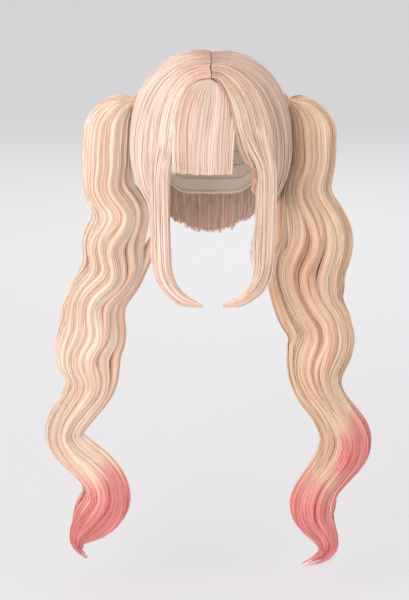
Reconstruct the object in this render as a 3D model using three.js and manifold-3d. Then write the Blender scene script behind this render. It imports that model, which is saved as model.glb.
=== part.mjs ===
// A wig with two pigtails: smooth parted crown, blunt fringe, face locks and long wavy tails.
// Millimetres, +Z up. The face looks along -Y, and left is at -X, as seen from the front.
// The origin is the middle of the head opening, level with the brow, where the head is widest.

import * as THREE from "three";
import { mergeVertices } from "three/addons/utils/BufferGeometryUtils.js";
import Module from "manifold-3d";

const wasm = await Module();
wasm.setup();

// The head that the cap fits, and the cap
const headHalfWidth = 77;
const headHalfDepth = 96;
const headTop = 104;
const capWall = 1.6;
const capNapeDrop = 74;
const capNapeTuck = 0.12;
const seatGap = 0.5;

// Hair round the head
const crownWidthLoft = 19.8;
const crownDepthLoft = 14.2;
const crownTopLoft = 16;
const partingGap = 1.2;
const sectionGap = 0.6;
const partingDip = 2;
const crownFullness = 0.06;
const napeDrop = 118;
const hemWall = 7;
const ridgeHeight = 1.3;
const fringeWall = 5;
const fringeDrop = 12;

// Locks that frame the face
const faceLockTop = 58;
const faceLockDrop = 236;
const faceLockCurl = 52;
const faceLockHalfWidth = 14;
const faceLockHalfWall = 6;
const faceLockBehind = 24;
const faceLockInset = { left: 36.5, right: 32 };
const faceLockTurnDegrees = 24;

// Ties and pigtails
const tieHeight = 53;
const tieBehind = 18;
const tieCord = 3.6;
const tieGap = 0.35;
const neckRadius = 8;
const neckLength = 13;
const tailFall = 40;
const tailSwing = 100;
const tailLength = { left: 594, right: 604 };
const tailHalfWidth = { left: 36, right: 41 };
const tailDepthShare = 0.8;
const tailWaveDepth = 8;

const colours = {
  cap: "#d9c3ad",
  crown: "#efd5c6",
  fringe: "#eccdbf",
  faceLock: "#f0d3bd",
  tie: "#c79a4e",
  tail: "#e6bfa2",
};

const capOuter = new THREE.Vector3(headHalfWidth, headHalfDepth, headTop).addScalar(capWall);
const hairInner = capOuter.clone().addScalar(seatGap);
const crownOuter = capOuter
  .clone()
  .add(new THREE.Vector3(crownWidthLoft, crownDepthLoft, crownTopLoft));

// Where the cap's edge runs, from the middle of the forehead round to the nape.
const capEdge = [
  { at: 0, drop: -0.5 },
  { at: 0.22, drop: -0.36 },
  { at: 0.36, drop: 0.0 },
  { at: 0.44, drop: 0.42 },
  { at: 0.53, drop: 0.16 },
  { at: 0.64, drop: 0.42 },
  { at: 0.8, drop: 0.9 },
  { at: 1, drop: 1 },
];

// Strands across a section, from its front edge to its back edge. Root is how far back the strand
// starts along the parting, comb and sweep its first direction and pull, turn where it crosses the
// brow plane, drop and tuck its fall below that plane and how far it draws in there, and loft how
// full it stands over the cap.
const leftCrownStrands = [
  { at: 0, root: -0.545, comb: 90, sweep: 0.45, turn: 30, drop: 0.12, tuck: 0.02, loft: 0.6 },
  { at: 0.2, root: -0.43, comb: 90, sweep: 0.45, turn: 47, drop: 0.4, tuck: 0.1, loft: 0.92 },
  { at: 0.45, root: -0.27, comb: 92, sweep: 0.45, turn: 73, drop: 0.53, tuck: 0.2, loft: 1 },
  { at: 0.72, root: -0.09, comb: 98, sweep: 0.42, turn: 100, drop: 0.57, tuck: 0.21, loft: 1 },
  { at: 1, root: 0.1, comb: 112, sweep: 0.36, turn: 125, drop: 0.71, tuck: 0.22, loft: 1 },
];
const rightCrownStrands = [
  { at: 0, root: -0.545, comb: 78, sweep: 0.14, turn: 28.5, drop: 0.21, tuck: -0.02, loft: 0.6 },
  { at: 0.2, root: -0.43, comb: 88, sweep: 0.32, turn: 47, drop: 0.42, tuck: 0.1, loft: 0.92 },
  { at: 0.45, root: -0.27, comb: 92, sweep: 0.43, turn: 73, drop: 0.53, tuck: 0.2, loft: 1 },
  { at: 0.72, root: -0.09, comb: 98, sweep: 0.42, turn: 100, drop: 0.57, tuck: 0.21, loft: 1 },
  { at: 1, root: 0.1, comb: 112, sweep: 0.36, turn: 125, drop: 0.71, tuck: 0.22, loft: 1 },
];
const backStrands = [
  { at: 0, root: 0.1, comb: 112, sweep: 0.36, turn: 125, drop: 0.72, tuck: 0.22, loft: 1 },
  { at: 0.25, root: 0.135, comb: 140, sweep: 0.33, turn: 150, drop: 0.9, tuck: 0.25, loft: 1 },
  { at: 0.5, root: 0.15, comb: 180, sweep: 0.3, turn: 180, drop: 1, tuck: 0.28, loft: 1 },
  { at: 0.75, root: 0.135, comb: 220, sweep: 0.33, turn: 210, drop: 0.9, tuck: 0.25, loft: 1 },
  { at: 1, root: 0.1, comb: 248, sweep: 0.36, turn: 235, drop: 0.72, tuck: 0.22, loft: 1 },
];
const fringeStrands = [
  { at: 0, root: -0.5, comb: -88, sweep: 0.62, turn: -43, drop: 1, tuck: 0, loft: 0.8 },
  { at: 0.3, root: -0.53, comb: -70, sweep: 0.4, turn: -26, drop: 1, tuck: 0, loft: 1 },
  { at: 0.7, root: -0.54, comb: 35, sweep: 0.25, turn: 2, drop: 1, tuck: 0, loft: 1 },
  { at: 1, root: -0.51, comb: 80, sweep: 0.5, turn: 17.5, drop: 1, tuck: 0, loft: 0.9 },
];

// Sections down a face lock: curl is its way in towards the throat.
const faceLockSections = [
  { at: 0, curl: 0.2, forward: 0.9, wide: 0.45, thick: 0.5 },
  { at: 0.12, curl: 0.04, forward: 0.935, wide: 0.85, thick: 0.9 },
  { at: 0.25, curl: 0, forward: 0.945, wide: 0.98, thick: 1 },
  { at: 0.5, curl: 0, forward: 0.915, wide: 1, thick: 1 },
  { at: 0.71, curl: 0.02, forward: 0.89, wide: 0.97, thick: 0.95 },
  { at: 0.82, curl: 0.06, forward: 0.9, wide: 0.9, thick: 0.85 },
  { at: 0.9, curl: 0.19, forward: 0.925, wide: 0.78, thick: 0.75 },
  { at: 0.955, curl: 0.42, forward: 0.955, wide: 0.62, thick: 0.6 },
  { at: 0.985, curl: 0.7, forward: 0.985, wide: 0.42, thick: 0.45 },
  { at: 1, curl: 1, forward: 1, wide: 0.12, thick: 0.2 },
];

// Sections down a pigtail: out is its way out from the tie, wide its half width.
const tailSections = {
  left: [
    { at: 0.067, out: 0.33, wide: 0.8 },
    { at: 0.135, out: 0.35, wide: 0.81 },
    { at: 0.19, out: 0.29, wide: 0.82 },
    { at: 0.24, out: 0.21, wide: 0.86 },
    { at: 0.306, out: 0.25, wide: 0.97 },
    { at: 0.359, out: 0.32, wide: 0.89 },
    { at: 0.415, out: 0.47, wide: 0.86 },
    { at: 0.48, out: 0.6, wide: 0.97 },
    { at: 0.53, out: 0.65, wide: 0.95 },
    { at: 0.6, out: 0.625, wide: 0.74 },
    { at: 0.657, out: 0.76, wide: 0.58 },
    { at: 0.692, out: 0.88, wide: 0.53 },
    { at: 0.727, out: 0.93, wide: 0.52 },
    { at: 0.763, out: 0.8, wide: 0.58 },
    { at: 0.8, out: 0.56, wide: 0.64 },
    { at: 0.835, out: 0.42, wide: 0.67 },
    { at: 0.872, out: 0.42, wide: 0.72 },
    { at: 0.907, out: 0.56, wide: 0.72 },
    { at: 0.944, out: 0.71, wide: 0.47 },
    { at: 0.98, out: 0.73, wide: 0.24 },
    { at: 1, out: 0.63, wide: 0.1 },
  ],
  right: [
    { at: 0.066, out: 0.317, wide: 0.65 },
    { at: 0.132, out: 0.32, wide: 0.62 },
    { at: 0.187, out: 0.27, wide: 0.68 },
    { at: 0.24, out: 0.29, wide: 0.88 },
    { at: 0.301, out: 0.33, wide: 1 },
    { at: 0.369, out: 0.3, wide: 0.95 },
    { at: 0.437, out: 0.32, wide: 0.83 },
    { at: 0.472, out: 0.43, wide: 0.83 },
    { at: 0.507, out: 0.48, wide: 0.88 },
    { at: 0.576, out: 0.41, wide: 0.71 },
    { at: 0.611, out: 0.44, wide: 0.6 },
    { at: 0.646, out: 0.56, wide: 0.54 },
    { at: 0.68, out: 0.69, wide: 0.59 },
    { at: 0.715, out: 0.78, wide: 0.66 },
    { at: 0.75, out: 0.757, wide: 0.68 },
    { at: 0.786, out: 0.63, wide: 0.59 },
    { at: 0.821, out: 0.47, wide: 0.56 },
    { at: 0.858, out: 0.386, wide: 0.6 },
    { at: 0.892, out: 0.4, wide: 0.51 },
    { at: 0.929, out: 0.53, wide: 0.35 },
    { at: 0.964, out: 0.56, wide: 0.29 },
    { at: 0.985, out: 0.47, wide: 0.22 },
    { at: 1, out: 0.25, wide: 0.1 },
  ],
};

// Locks of a pigtail: their place across and behind its middle line, their size and where they end.
const tailLocks = [
  { across: 0, behind: 0.06, wide: 0.7, thick: 0.46, end: 0.97, rise: 1.14 },
  { across: -0.7, behind: -0.06, wide: 0.32, thick: 0.5, end: 0.96, rise: 0.96 },
  { across: -0.26, behind: -0.5, wide: 0.34, thick: 0.38, end: 1, rise: 1.16 },
  { across: 0.28, behind: -0.52, wide: 0.34, thick: 0.36, end: 0.985, rise: 1.22 },
  { across: 0.7, behind: -0.08, wide: 0.32, thick: 0.5, end: 0.955, rise: 1.14 },
  { across: 0.05, behind: 0.58, wide: 0.5, thick: 0.38, end: 0.94, rise: 1.12 },
];

const sideways = new THREE.Vector3(1, 0, 0);
const backwards = new THREE.Vector3(0, 1, 0);
const browShare = 0.7;
const controlLift = 0.45;

// Gives a function that reads a table between its rows, on a smooth curve through them.
function tableCurve(table) {
  const names = Object.keys(table[0]).filter((name) => name !== "at");
  const places = table.map((row) => row.at);
  const values = table.flatMap((row) => names.map((name) => row[name]));
  const curve = new THREE.CubicInterpolant(places, values, names.length);
  return (at) => {
    const found = curve.evaluate(at);
    return Object.fromEntries(names.map((name, index) => [name, found[index]]));
  };
}

// Shares from 0 to 1 in equal steps.
function shares(steps) {
  return Array.from({ length: steps + 1 }, (_, index) => index / steps);
}

// Joins closed rings of points into one closed surface. The ends are closed by a fan round the
// ring's middle, or by a strip across a ring that runs out along one face and back along another.
function loftRings(rings, ends) {
  const count = rings[0].length;
  const points = rings.flat();
  const faces = [];
  for (let row = 0; row + 1 < rings.length; row += 1) {
    for (let spot = 0; spot < count; spot += 1) {
      const next = (spot + 1) % count;
      const [a, b] = [row * count + spot, row * count + next];
      faces.push([a, b, b + count], [a, b + count, a + count]);
    }
  }
  for (const [row, flip] of [[0, true], [rings.length - 1, false]]) {
    const start = row * count;
    const cap = ends === "strip" ? stripCap(start, count) : fanCap(start, count, points);
    faces.push(...cap.map(([a, b, c]) => (flip ? [a, c, b] : [a, b, c])));
  }
  const geometry = new THREE.BufferGeometry().setFromPoints(points);
  geometry.setIndex(faces.flat());
  return solidOf(geometry);
}

function fanCap(start, count, points) {
  const middle = new THREE.Vector3();
  for (let spot = 0; spot < count; spot += 1) middle.addScaledVector(points[start + spot], 1 / count);
  points.push(middle);
  return shares(count)
    .slice(0, count)
    .map((_, spot) => [start + spot, start + ((spot + 1) % count), points.length - 1]);
}

function stripCap(start, count) {
  const faces = [];
  for (let spot = 0; spot + 1 < count / 2; spot += 1) {
    const [a, b] = [start + spot, start + spot + 1];
    const [c, d] = [start + count - 2 - spot, start + count - 1 - spot];
    faces.push([a, b, c], [a, c, d]);
  }
  return faces;
}

// Turns a closed geometry into a solid whose faces point out.
function solidOf(geometry) {
  const bare = new THREE.BufferGeometry().setAttribute("position", geometry.getAttribute("position"));
  bare.setIndex(geometry.index);
  const merged = mergeVertices(bare, 1e-4);
  const corners = merged.getAttribute("position");
  const triangles = new Uint32Array(merged.index.array);
  if (signedVolume(corners, triangles) < 0) triangles.reverse();
  const mesh = new wasm.Mesh({ numProp: 3, vertProperties: corners.array, triVerts: triangles });
  return new wasm.Manifold(mesh);
}

// Keeps the main body of a solid and drops the specks that a cut can leave beside it.
function mainBody(solid) {
  const bodies = solid.decompose();
  return bodies.reduce((best, body) => (body.volume() > best.volume() ? body : best));
}

function signedVolume(corners, triangles) {
  const [a, b, c] = [new THREE.Vector3(), new THREE.Vector3(), new THREE.Vector3()];
  let volume = 0;
  for (let index = 0; index < triangles.length; index += 3) {
    a.fromBufferAttribute(corners, triangles[index]);
    b.fromBufferAttribute(corners, triangles[index + 1]);
    c.fromBufferAttribute(corners, triangles[index + 2]);
    volume += a.dot(b.cross(c)) / 6;
  }
  return volume;
}

function meshOf(name, solid, colour) {
  const { vertProperties, triVerts } = mainBody(solid).getMesh();
  const geometry = new THREE.BufferGeometry();
  geometry.setAttribute("position", new THREE.BufferAttribute(vertProperties, 3));
  geometry.setIndex(new THREE.BufferAttribute(triVerts, 1));
  geometry.computeVertexNormals();
  const material = new THREE.MeshStandardMaterial({ color: colour, roughness: 0.45, metalness: 0 });
  const mesh = new THREE.Mesh(geometry, material);
  mesh.name = name;
  return mesh;
}

// The cap: a thin dome, open at the face and the neck, with tabs before the ears.
function makeCap() {
  const edge = tableCurve(capEdge);
  const columns = 28;
  const rows = 5;
  const ring = (size, down) =>
    shares(columns)
      .slice(0, columns)
      .map((round) => {
        const turn = round * 2 * Math.PI;
        const drop = edge(1 - Math.abs(1 - 2 * round)).drop * capNapeDrop;
        return capPoint(size, turn, down, drop);
      });
  const inner = capOuter.clone().subScalar(capWall);
  const down = shares(rows).map((share) => 0.08 + 0.92 * share);
  const rings = [
    ...down.map((share) => ring(inner, share)),
    ...down.reverse().map((share) => ring(capOuter, share)),
  ];
  return loftRings(rings, "fan");
}

// A point of the cap at a turn from the face and a share of the way down from its top to its edge.
function capPoint(size, turn, down, drop) {
  const fall = Math.PI / 2 - Math.asin(Math.min(0, drop) / -size.z) * (drop < 0 ? 1 : 0);
  const full = fall + Math.max(0, drop) / size.z;
  const angle = down * full;
  const below = Math.max(0, angle - Math.PI / 2) * size.z;
  const reach = 1 - capNapeTuck * (below / capNapeDrop) ** 2;
  const across = angle < Math.PI / 2 ? Math.sin(angle) : reach;
  const height = angle < Math.PI / 2 ? size.z * Math.cos(angle) : -below;
  return new THREE.Vector3(
    size.x * across * Math.sin(turn),
    -size.y * across * Math.cos(turn),
    height,
  );
}

// One strand of a section, as control points over the dome and its fall below the brow plane.
function strandAt(section, share, grow) {
  const row = section.strands(share);
  const aside = section.side;
  const spread = ((2 * share - 1) * grow * aside) / section.outer.x;
  const comb = THREE.MathUtils.degToRad(row.comb) * aside;
  const turn = THREE.MathUtils.degToRad(row.turn) * aside + spread;
  const rootBack = row.root + grow / section.outer.y;
  const root = new THREE.Vector3(0, rootBack, Math.sqrt(1 - rootBack ** 2));
  root.x = section.rootAside(share) + (section.rootSpreads ? spread : 0);
  const lead = root.clone();
  lead.x += row.sweep * Math.sin(comb);
  lead.y -= row.sweep * Math.cos(comb);
  const brow = new THREE.Vector3(Math.sin(turn), -Math.cos(turn), 0);
  const above = brow.clone().setZ(controlLift);
  const path = new THREE.CubicBezierCurve3(root, lead, above, brow);
  return { path, brow, drop: row.drop * section.drop + grow, tuck: row.tuck, loft: row.loft };
}

// A point in a direction from the head's middle, on a dome that is a little fuller than an oval.
function domePoint(direction, size) {
  const height = direction.z ** 2;
  return direction.multiply(size).multiplyScalar(1 + 4 * crownFullness * height * (1 - height));
}

// A point a share of the way along a strand, on a dome with the given half sizes.
function strandPoint(strand, along, size) {
  if (along <= browShare) {
    return domePoint(strand.path.getPoint(along / browShare).normalize(), size);
  }
  const below = (along - browShare) / (1 - browShare);
  const reach = 1 - strand.tuck * below ** 2;
  return strand.brow.clone().multiply(size).multiplyScalar(reach).setZ(-strand.drop * below);
}

// A section of hair that lies on the cap, falls free below the brow and thins to its cut hem.
function hairSection(section, grow = 0) {
  const outer = section.outer.clone().addScalar(grow);
  const inner = section.inner.clone().subScalar(grow);
  const strands = shares(section.columns).map((share) => strandAt(section, share, grow));
  const rings = shares(section.rows).map((along) => {
    const below = Math.max(0, along - browShare) / (1 - browShare);
    const dip = partingDip * (1 - THREE.MathUtils.smoothstep(along, 0, 0.15));
    const outside = strands.map((strand, index) => {
      const wave = Math.cos((2 * Math.PI * section.ridges * index) / section.columns);
      const raised = (wave * ridgeHeight * Math.min(1, 2 * along) - dip) / outer.y;
      const size = inner.clone().lerp(outer, strand.loft);
      return strandPoint(strand, along, size).multiplyScalar(1 + raised);
    });
    const inside = strands.map((strand, index) => {
      const point = strandPoint(strand, along, inner);
      const hem = strandPoint(strand, along, inner.clone().lerp(outer, strand.loft));
      const wall = Math.min(section.hemWall, hem.length() - 1) + 2 * grow;
      hem.addScaledVector(strand.brow, -wall);
      point.lerp(hem, below ** 2).setZ(along <= browShare ? point.z : outside[index].z);
      return point;
    });
    return [...outside, ...inside.reverse()];
  });
  return loftRings(rings, "strip");
}

function crownSection(side, strands, columns) {
  return {
    strands: tableCurve(strands),
    side,
    rootAside: () => (side * partingGap) / 2 / crownOuter.x,
    outer: crownOuter,
    inner: hairInner,
    hemWall,
    drop: napeDrop,
    rootSpreads: false,
    columns,
    rows: 14,
    ridges: 4.5,
  };
}

// The back section closes up behind the parting and keeps a small gap to the two crown sections.
function backSection() {
  const strands = tableCurve(backStrands);
  const inset = THREE.MathUtils.radToDeg(sectionGap / crownOuter.x);
  return {
    ...crownSection(1, backStrands, 18),
    strands: (share) => {
      const row = strands(share);
      const turn = row.turn + inset * (1 - 2 * share);
      return { ...row, turn, root: row.root + sectionGap / crownOuter.y };
    },
    rootAside: (share) => ((1 - 2 * share) * partingGap) / 2 / crownOuter.x,
    ridges: 6,
  };
}

function fringeSection() {
  const outer = hairInner.clone().addScalar(fringeWall);
  return {
    strands: tableCurve(fringeStrands),
    side: 1,
    rootAside: (share) => (share - 0.5) * 0.2,
    outer,
    inner: hairInner,
    hemWall: fringeWall * 0.8,
    drop: fringeDrop,
    rootSpreads: true,
    columns: 17,
    rows: 8,
    ridges: 6,
  };
}

// A tapering lock along a path. Each section is an oval, wide along the broad direction.
function loftLock(path, sizeAt, broad, steps, sides) {
  const rings = shares(steps).map((step) => {
    const share = 1 - (1 - step) ** 1.15;
    const { wide, thick } = sizeAt(share);
    const centre = path.getPointAt(share);
    const tangent = path.getTangentAt(share);
    const across = broad.clone().addScaledVector(tangent, -broad.dot(tangent)).normalize();
    const through = new THREE.Vector3().crossVectors(tangent, across);
    return shares(sides)
      .slice(0, sides)
      .map((round) => {
        const angle = round * 2 * Math.PI;
        return centre
          .clone()
          .addScaledVector(across, wide * Math.cos(angle))
          .addScaledVector(through, thick * Math.sin(angle));
      });
  });
  return loftRings(rings, "fan");
}

// A face lock hangs from the crown beside the fringe and curls in under the chin.
function makeFaceLock(sideName, side, grow = 0) {
  const points = faceLockSections.map(
    (row) =>
      new THREE.Vector3(
        side * (crownOuter.x - faceLockInset[sideName] - row.curl * faceLockCurl),
        -row.forward * (crownOuter.y - faceLockBehind),
        faceLockTop - row.at * faceLockDrop,
      ),
  );
  const path = new THREE.CatmullRomCurve3(points, false, "centripetal");
  const lengths = arcShares(path, points.length);
  const sizes = tableCurve(
    faceLockSections.map(({ wide, thick }, index) => ({ at: lengths[index], wide, thick })),
  );
  const sizeAt = (share) => {
    const { wide, thick } = sizes(share);
    return { wide: wide * faceLockHalfWidth + grow, thick: thick * faceLockHalfWall + grow };
  };
  const turn = THREE.MathUtils.degToRad(faceLockTurnDegrees);
  const broad = new THREE.Vector3(side * Math.cos(turn), Math.sin(turn), 0);
  return loftLock(path, sizeAt, broad, 18, 8);
}

// How far along a curve, as a share of its length, each of its points lies.
function arcShares(path, count) {
  const fine = 40;
  const lengths = path.getLengths(fine * (count - 1));
  const total = lengths[lengths.length - 1];
  return shares(count - 1).map((_, index) => lengths[index * fine] / total);
}

// Where a tie sits on the side of the crown, and the way out from the head there.
function tieSeat(side) {
  const [back, up] = [tieBehind / crownOuter.y, tieHeight / crownOuter.z];
  const aside = side * Math.sqrt(1 - back ** 2 - up ** 2);
  const seat = domePoint(new THREE.Vector3(aside, back, up), crownOuter);
  const outward = seat.clone().divide(crownOuter).divide(crownOuter).normalize();
  const centre = seat.clone().addScaledVector(outward, tieCord / 2 + ridgeHeight + tieGap);
  return { seat, outward, centre };
}

function makeTie(side, grow = 0) {
  const { outward, centre } = tieSeat(side);
  const ring = new THREE.TorusGeometry(neckRadius + tieGap + tieCord / 2, tieCord / 2 + grow, 7, 14);
  ring.applyQuaternion(new THREE.Quaternion().setFromUnitVectors(new THREE.Vector3(0, 0, 1), outward));
  ring.translate(centre.x, centre.y, centre.z);
  return solidOf(ring);
}

// The gathered neck of a pigtail, which passes through its tie.
function makeNeck(side) {
  const { outward, centre } = tieSeat(side);
  const start = centre.clone().addScaledVector(outward, -neckLength / 2);
  const finish = centre.clone().addScaledVector(outward, neckLength / 2);
  const path = new THREE.LineCurve3(start, finish);
  const sizeAt = (share) => ({ wide: neckRadius, thick: neckRadius * (1 - 0.02 * share) });
  return loftLock(path, sizeAt, backwards, 2, 12);
}

// The middle line of a pigtail's body, with its sideways direction and half width at each section.
function tailBody(sideName, side) {
  const { centre } = tieSeat(side);
  const rows = tailSections[sideName];
  const points = rows.map(
    (row) =>
      new THREE.Vector3(
        centre.x + side * row.out * tailSwing,
        centre.y + tailWaveDepth * Math.sin(row.at * 6 * Math.PI) * row.at,
        centre.z - row.at * tailLength[sideName],
      ),
  );
  const path = new THREE.CatmullRomCurve3(points, false, "centripetal");
  return rows.map((row, index) => {
    const tangent = path.getTangent(index / (rows.length - 1));
    const across = new THREE.Vector3().crossVectors(tangent, backwards).normalize();
    if (across.x * side < 0) across.negate();
    return { at: row.at, point: points[index], across, wide: row.wide * tailHalfWidth[sideName] };
  });
}

// One lock of a pigtail: out of the neck, over in an arch and down through the body's sections.
function makeTailLock(lock, body, side, bodyEnd) {
  const { outward, centre } = tieSeat(side);
  const sections = body.filter((section) => section.at <= lock.end * bodyEnd);
  const down = sections.map(({ point, across, wide }) =>
    point
      .clone()
      .addScaledVector(across, lock.across * wide)
      .addScaledVector(backwards, lock.behind * wide * tailDepthShare),
  );
  const reach = down[0].x - centre.x;
  const arch = [26, 50, 72].map((degrees) => {
    const angle = THREE.MathUtils.degToRad(degrees);
    return new THREE.Vector3(
      centre.x + reach * Math.sin(angle),
      THREE.MathUtils.lerp(centre.y, down[0].y, Math.sin(angle) ** 0.6),
      down[0].z + lock.rise * tailFall * Math.cos(angle),
    );
  });
  const start = centre.clone().addScaledVector(outward, neckLength * 0.28);
  const points = [start, ...arch, ...down];
  const path = new THREE.CatmullRomCurve3(points, false, "centripetal");
  const lengths = arcShares(path, points.length);
  const bodyWides = sections.map((section) => section.wide);
  const archWides = [0.78, 0.92, 1].map((share) => share * bodyWides[0]);
  const wides = [neckRadius * 0.55, ...archWides, ...bodyWides];
  const sizes = tableCurve(wides.map((wide, index) => ({ at: lengths[index], wide })));
  const sizeAt = (share) => {
    const tip = Math.min(1, (1.01 - share) / 0.07) ** 0.7;
    const full = sizes(share).wide * tip;
    const root = THREE.MathUtils.smoothstep(share, 0, 0.06);
    return {
      wide: THREE.MathUtils.lerp(neckRadius * 0.5, full * lock.wide, root),
      thick: THREE.MathUtils.lerp(neckRadius * 0.5, full * lock.thick, root),
    };
  };
  return loftLock(path, sizeAt, sideways, 25, 6);
}

function makePigtail(sideName, side) {
  const body = tailBody(sideName, side);
  const bodyEnd = body[body.length - 1].at;
  const locks = tailLocks.map((lock) => makeTailLock(lock, body, side, bodyEnd));
  return locks.reduce((tail, lock) => tail.add(lock), makeNeck(side));
}

const leftCrown = crownSection(-1, leftCrownStrands, 15);
const rightCrown = crownSection(1, rightCrownStrands, 15);
const back = backSection();
const fringe = fringeSection();

const fringeRoom = hairSection(fringe, seatGap);
const headHairRoom = hairSection(leftCrown, seatGap)
  .add(hairSection(rightCrown, seatGap))
  .add(hairSection(back, seatGap));

// A crown section makes room for the fringe under it and for the face lock laid into it.
function cutCrown(section, sideName, side) {
  const lockRoom = makeFaceLock(sideName, side, seatGap);
  return hairSection(section).subtract(fringeRoom).subtract(lockRoom);
}

const wig = new THREE.Group();
wig.add(meshOf("wig_cap", makeCap(), colours.cap));
wig.add(meshOf("crown_hair_left", cutCrown(leftCrown, "left", -1), colours.crown));
wig.add(meshOf("crown_hair_right", cutCrown(rightCrown, "right", 1), colours.crown));
wig.add(meshOf("back_hair", hairSection(back), colours.crown));
wig.add(meshOf("fringe", hairSection(fringe), colours.fringe));
for (const [sideName, side] of [["left", -1], ["right", 1]]) {
  const faceLock = makeFaceLock(sideName, side);
  const tieRoom = makeTie(side, tieGap);
  const pigtail = makePigtail(sideName, side).subtract(headHairRoom).subtract(tieRoom);
  wig.add(meshOf(`face_lock_${sideName}`, faceLock, colours.faceLock));
  wig.add(meshOf(`hair_tie_${sideName}`, makeTie(side), colours.tie));
  wig.add(meshOf(`pigtail_${sideName}`, pigtail, colours.tail));
}

export default wig;
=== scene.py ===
import logging
import math
from dataclasses import asdict, dataclass, field, fields
from enum import Enum
from typing import Callable

import bpy
import numpy as np
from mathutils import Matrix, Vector


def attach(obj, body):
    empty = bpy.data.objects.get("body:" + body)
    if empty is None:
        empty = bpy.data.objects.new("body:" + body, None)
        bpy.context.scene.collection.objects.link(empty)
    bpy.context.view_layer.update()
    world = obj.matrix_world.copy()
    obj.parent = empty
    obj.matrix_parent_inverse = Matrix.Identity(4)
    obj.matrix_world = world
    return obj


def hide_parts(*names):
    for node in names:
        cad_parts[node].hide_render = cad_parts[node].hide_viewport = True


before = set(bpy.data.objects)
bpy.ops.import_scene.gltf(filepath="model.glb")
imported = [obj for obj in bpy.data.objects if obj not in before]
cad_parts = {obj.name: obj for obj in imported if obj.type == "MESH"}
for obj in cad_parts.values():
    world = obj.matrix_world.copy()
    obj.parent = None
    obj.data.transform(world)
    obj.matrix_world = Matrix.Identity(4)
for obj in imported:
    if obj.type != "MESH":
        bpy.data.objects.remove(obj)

LOG = logging.getLogger("pigtail_wig")
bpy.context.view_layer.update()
Array = np.ndarray
Chance = np.random.Generator
Material = bpy.types.Material
Piece = bpy.types.Object
Socket = bpy.types.NodeSocket
Tree = bpy.types.NodeTree
Rows = list[dict[str, float]]
Colour = tuple[int, int, int]
STEPS_BETWEEN_POINTS = 12
DEPTH_WAY = np.array([0.0, 1.0, 0.0])


class Side(Enum):
    """A side of the head, as seen from the front, with its sign along X."""

    LEFT = -1
    RIGHT = 1

    @property
    def word(self) -> str:
        """The side's name in a piece's name."""
        return self.name.lower()


def unit(vectors: Array) -> Array:
    """Scales vectors to length one.

    Args:
        vectors: an array whose last axis is x, y, z.

    Returns:
        The array with each vector divided by its length.
    """
    return vectors / np.maximum(np.linalg.norm(vectors, axis=-1, keepdims=True), 1e-12)


def smoothstep(value: Array, low: float, high: float) -> Array:
    """Rises smoothly from 0 at low to 1 at high.

    Args:
        value: the numbers to map.
        low: where the rise starts.
        high: where it ends.

    Returns:
        The mapped numbers.
    """
    share = np.clip((np.asarray(value, float) - low) / (high - low), 0, 1)
    return share * share * (3 - 2 * share)


def linear(colour: Colour) -> tuple[float, ...]:
    """Turns a display colour into the linear colour that shaders use.

    Args:
        colour: red, green and blue from 0 to 255.

    Returns:
        The linear red, green and blue, and an alpha of 1.
    """
    parts = [value / 255 for value in colour]
    return (*(p / 12.92 if p <= 0.04045 else ((p + 0.055) / 1.055) ** 2.4 for p in parts), 1.0)


def place_new(name: str, data: bpy.types.ID) -> Piece:
    """Puts a mesh, a lamp or a camera in the scene.

    Args:
        name: the new object's name.
        data: what the object shows.

    Returns:
        The object.
    """
    made = bpy.data.objects.new(name, data)
    bpy.context.collection.objects.link(made)
    return made


def named_rows(columns: str, *rows: tuple[float, ...]) -> Rows:
    """Names the columns of a short table.

    Args:
        columns: the names, with a space between them.
        rows: the rows.

    Returns:
        The rows with their names.
    """
    return [dict(zip(columns.split(), row, strict=True)) for row in rows]


class Table:
    """Rows of values at shares from 0 to 1, read on a smooth curve through the rows."""

    def __init__(self, rows: Rows) -> None:
        """Keeps the rows.

        Args:
            rows: one dict a row, each with its share under "at".
        """
        self.at = np.array([row["at"] for row in rows], float)
        names = [name for name in rows[0] if name != "at"]
        self.columns = {name: np.array([row[name] for row in rows], float) for name in names}

    def read(self, share: Array) -> dict[str, Array]:
        """Reads every column at the given shares.

        Args:
            share: where to read, from 0 to 1.

        Returns:
            One array for each column.
        """
        share = np.asarray(share, float)
        count = len(self.at)
        after = np.clip(np.searchsorted(self.at, share, side="right"), 1, count - 1)
        before = after - 1
        prev = np.where(after - 2 >= 0, after - 2, after)
        follow = np.where(after + 1 < count, after + 1, before)
        start, stop = self.at[before], self.at[after]
        half = (stop - start) / 2
        weight_prev = half / (start - self.at[prev])
        weight_next = half / (self.at[follow] - stop)
        p = (share - start) / (stop - start)
        pp, ppp = p * p, p * p * p
        from_prev = weight_prev * (2 * pp - ppp - p)
        from_before = (1 + weight_prev) * ppp - (1.5 + 2 * weight_prev) * pp + (weight_prev - 0.5) * p + 1
        from_after = (1.5 + weight_next) * pp - (1 + weight_next) * ppp + 0.5 * p
        from_next = weight_next * (ppp - pp)
        return {
            name: from_prev * values[prev]
            + from_before * values[before]
            + from_after * values[after]
            + from_next * values[follow]
            for name, values in self.columns.items()
        }


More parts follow.
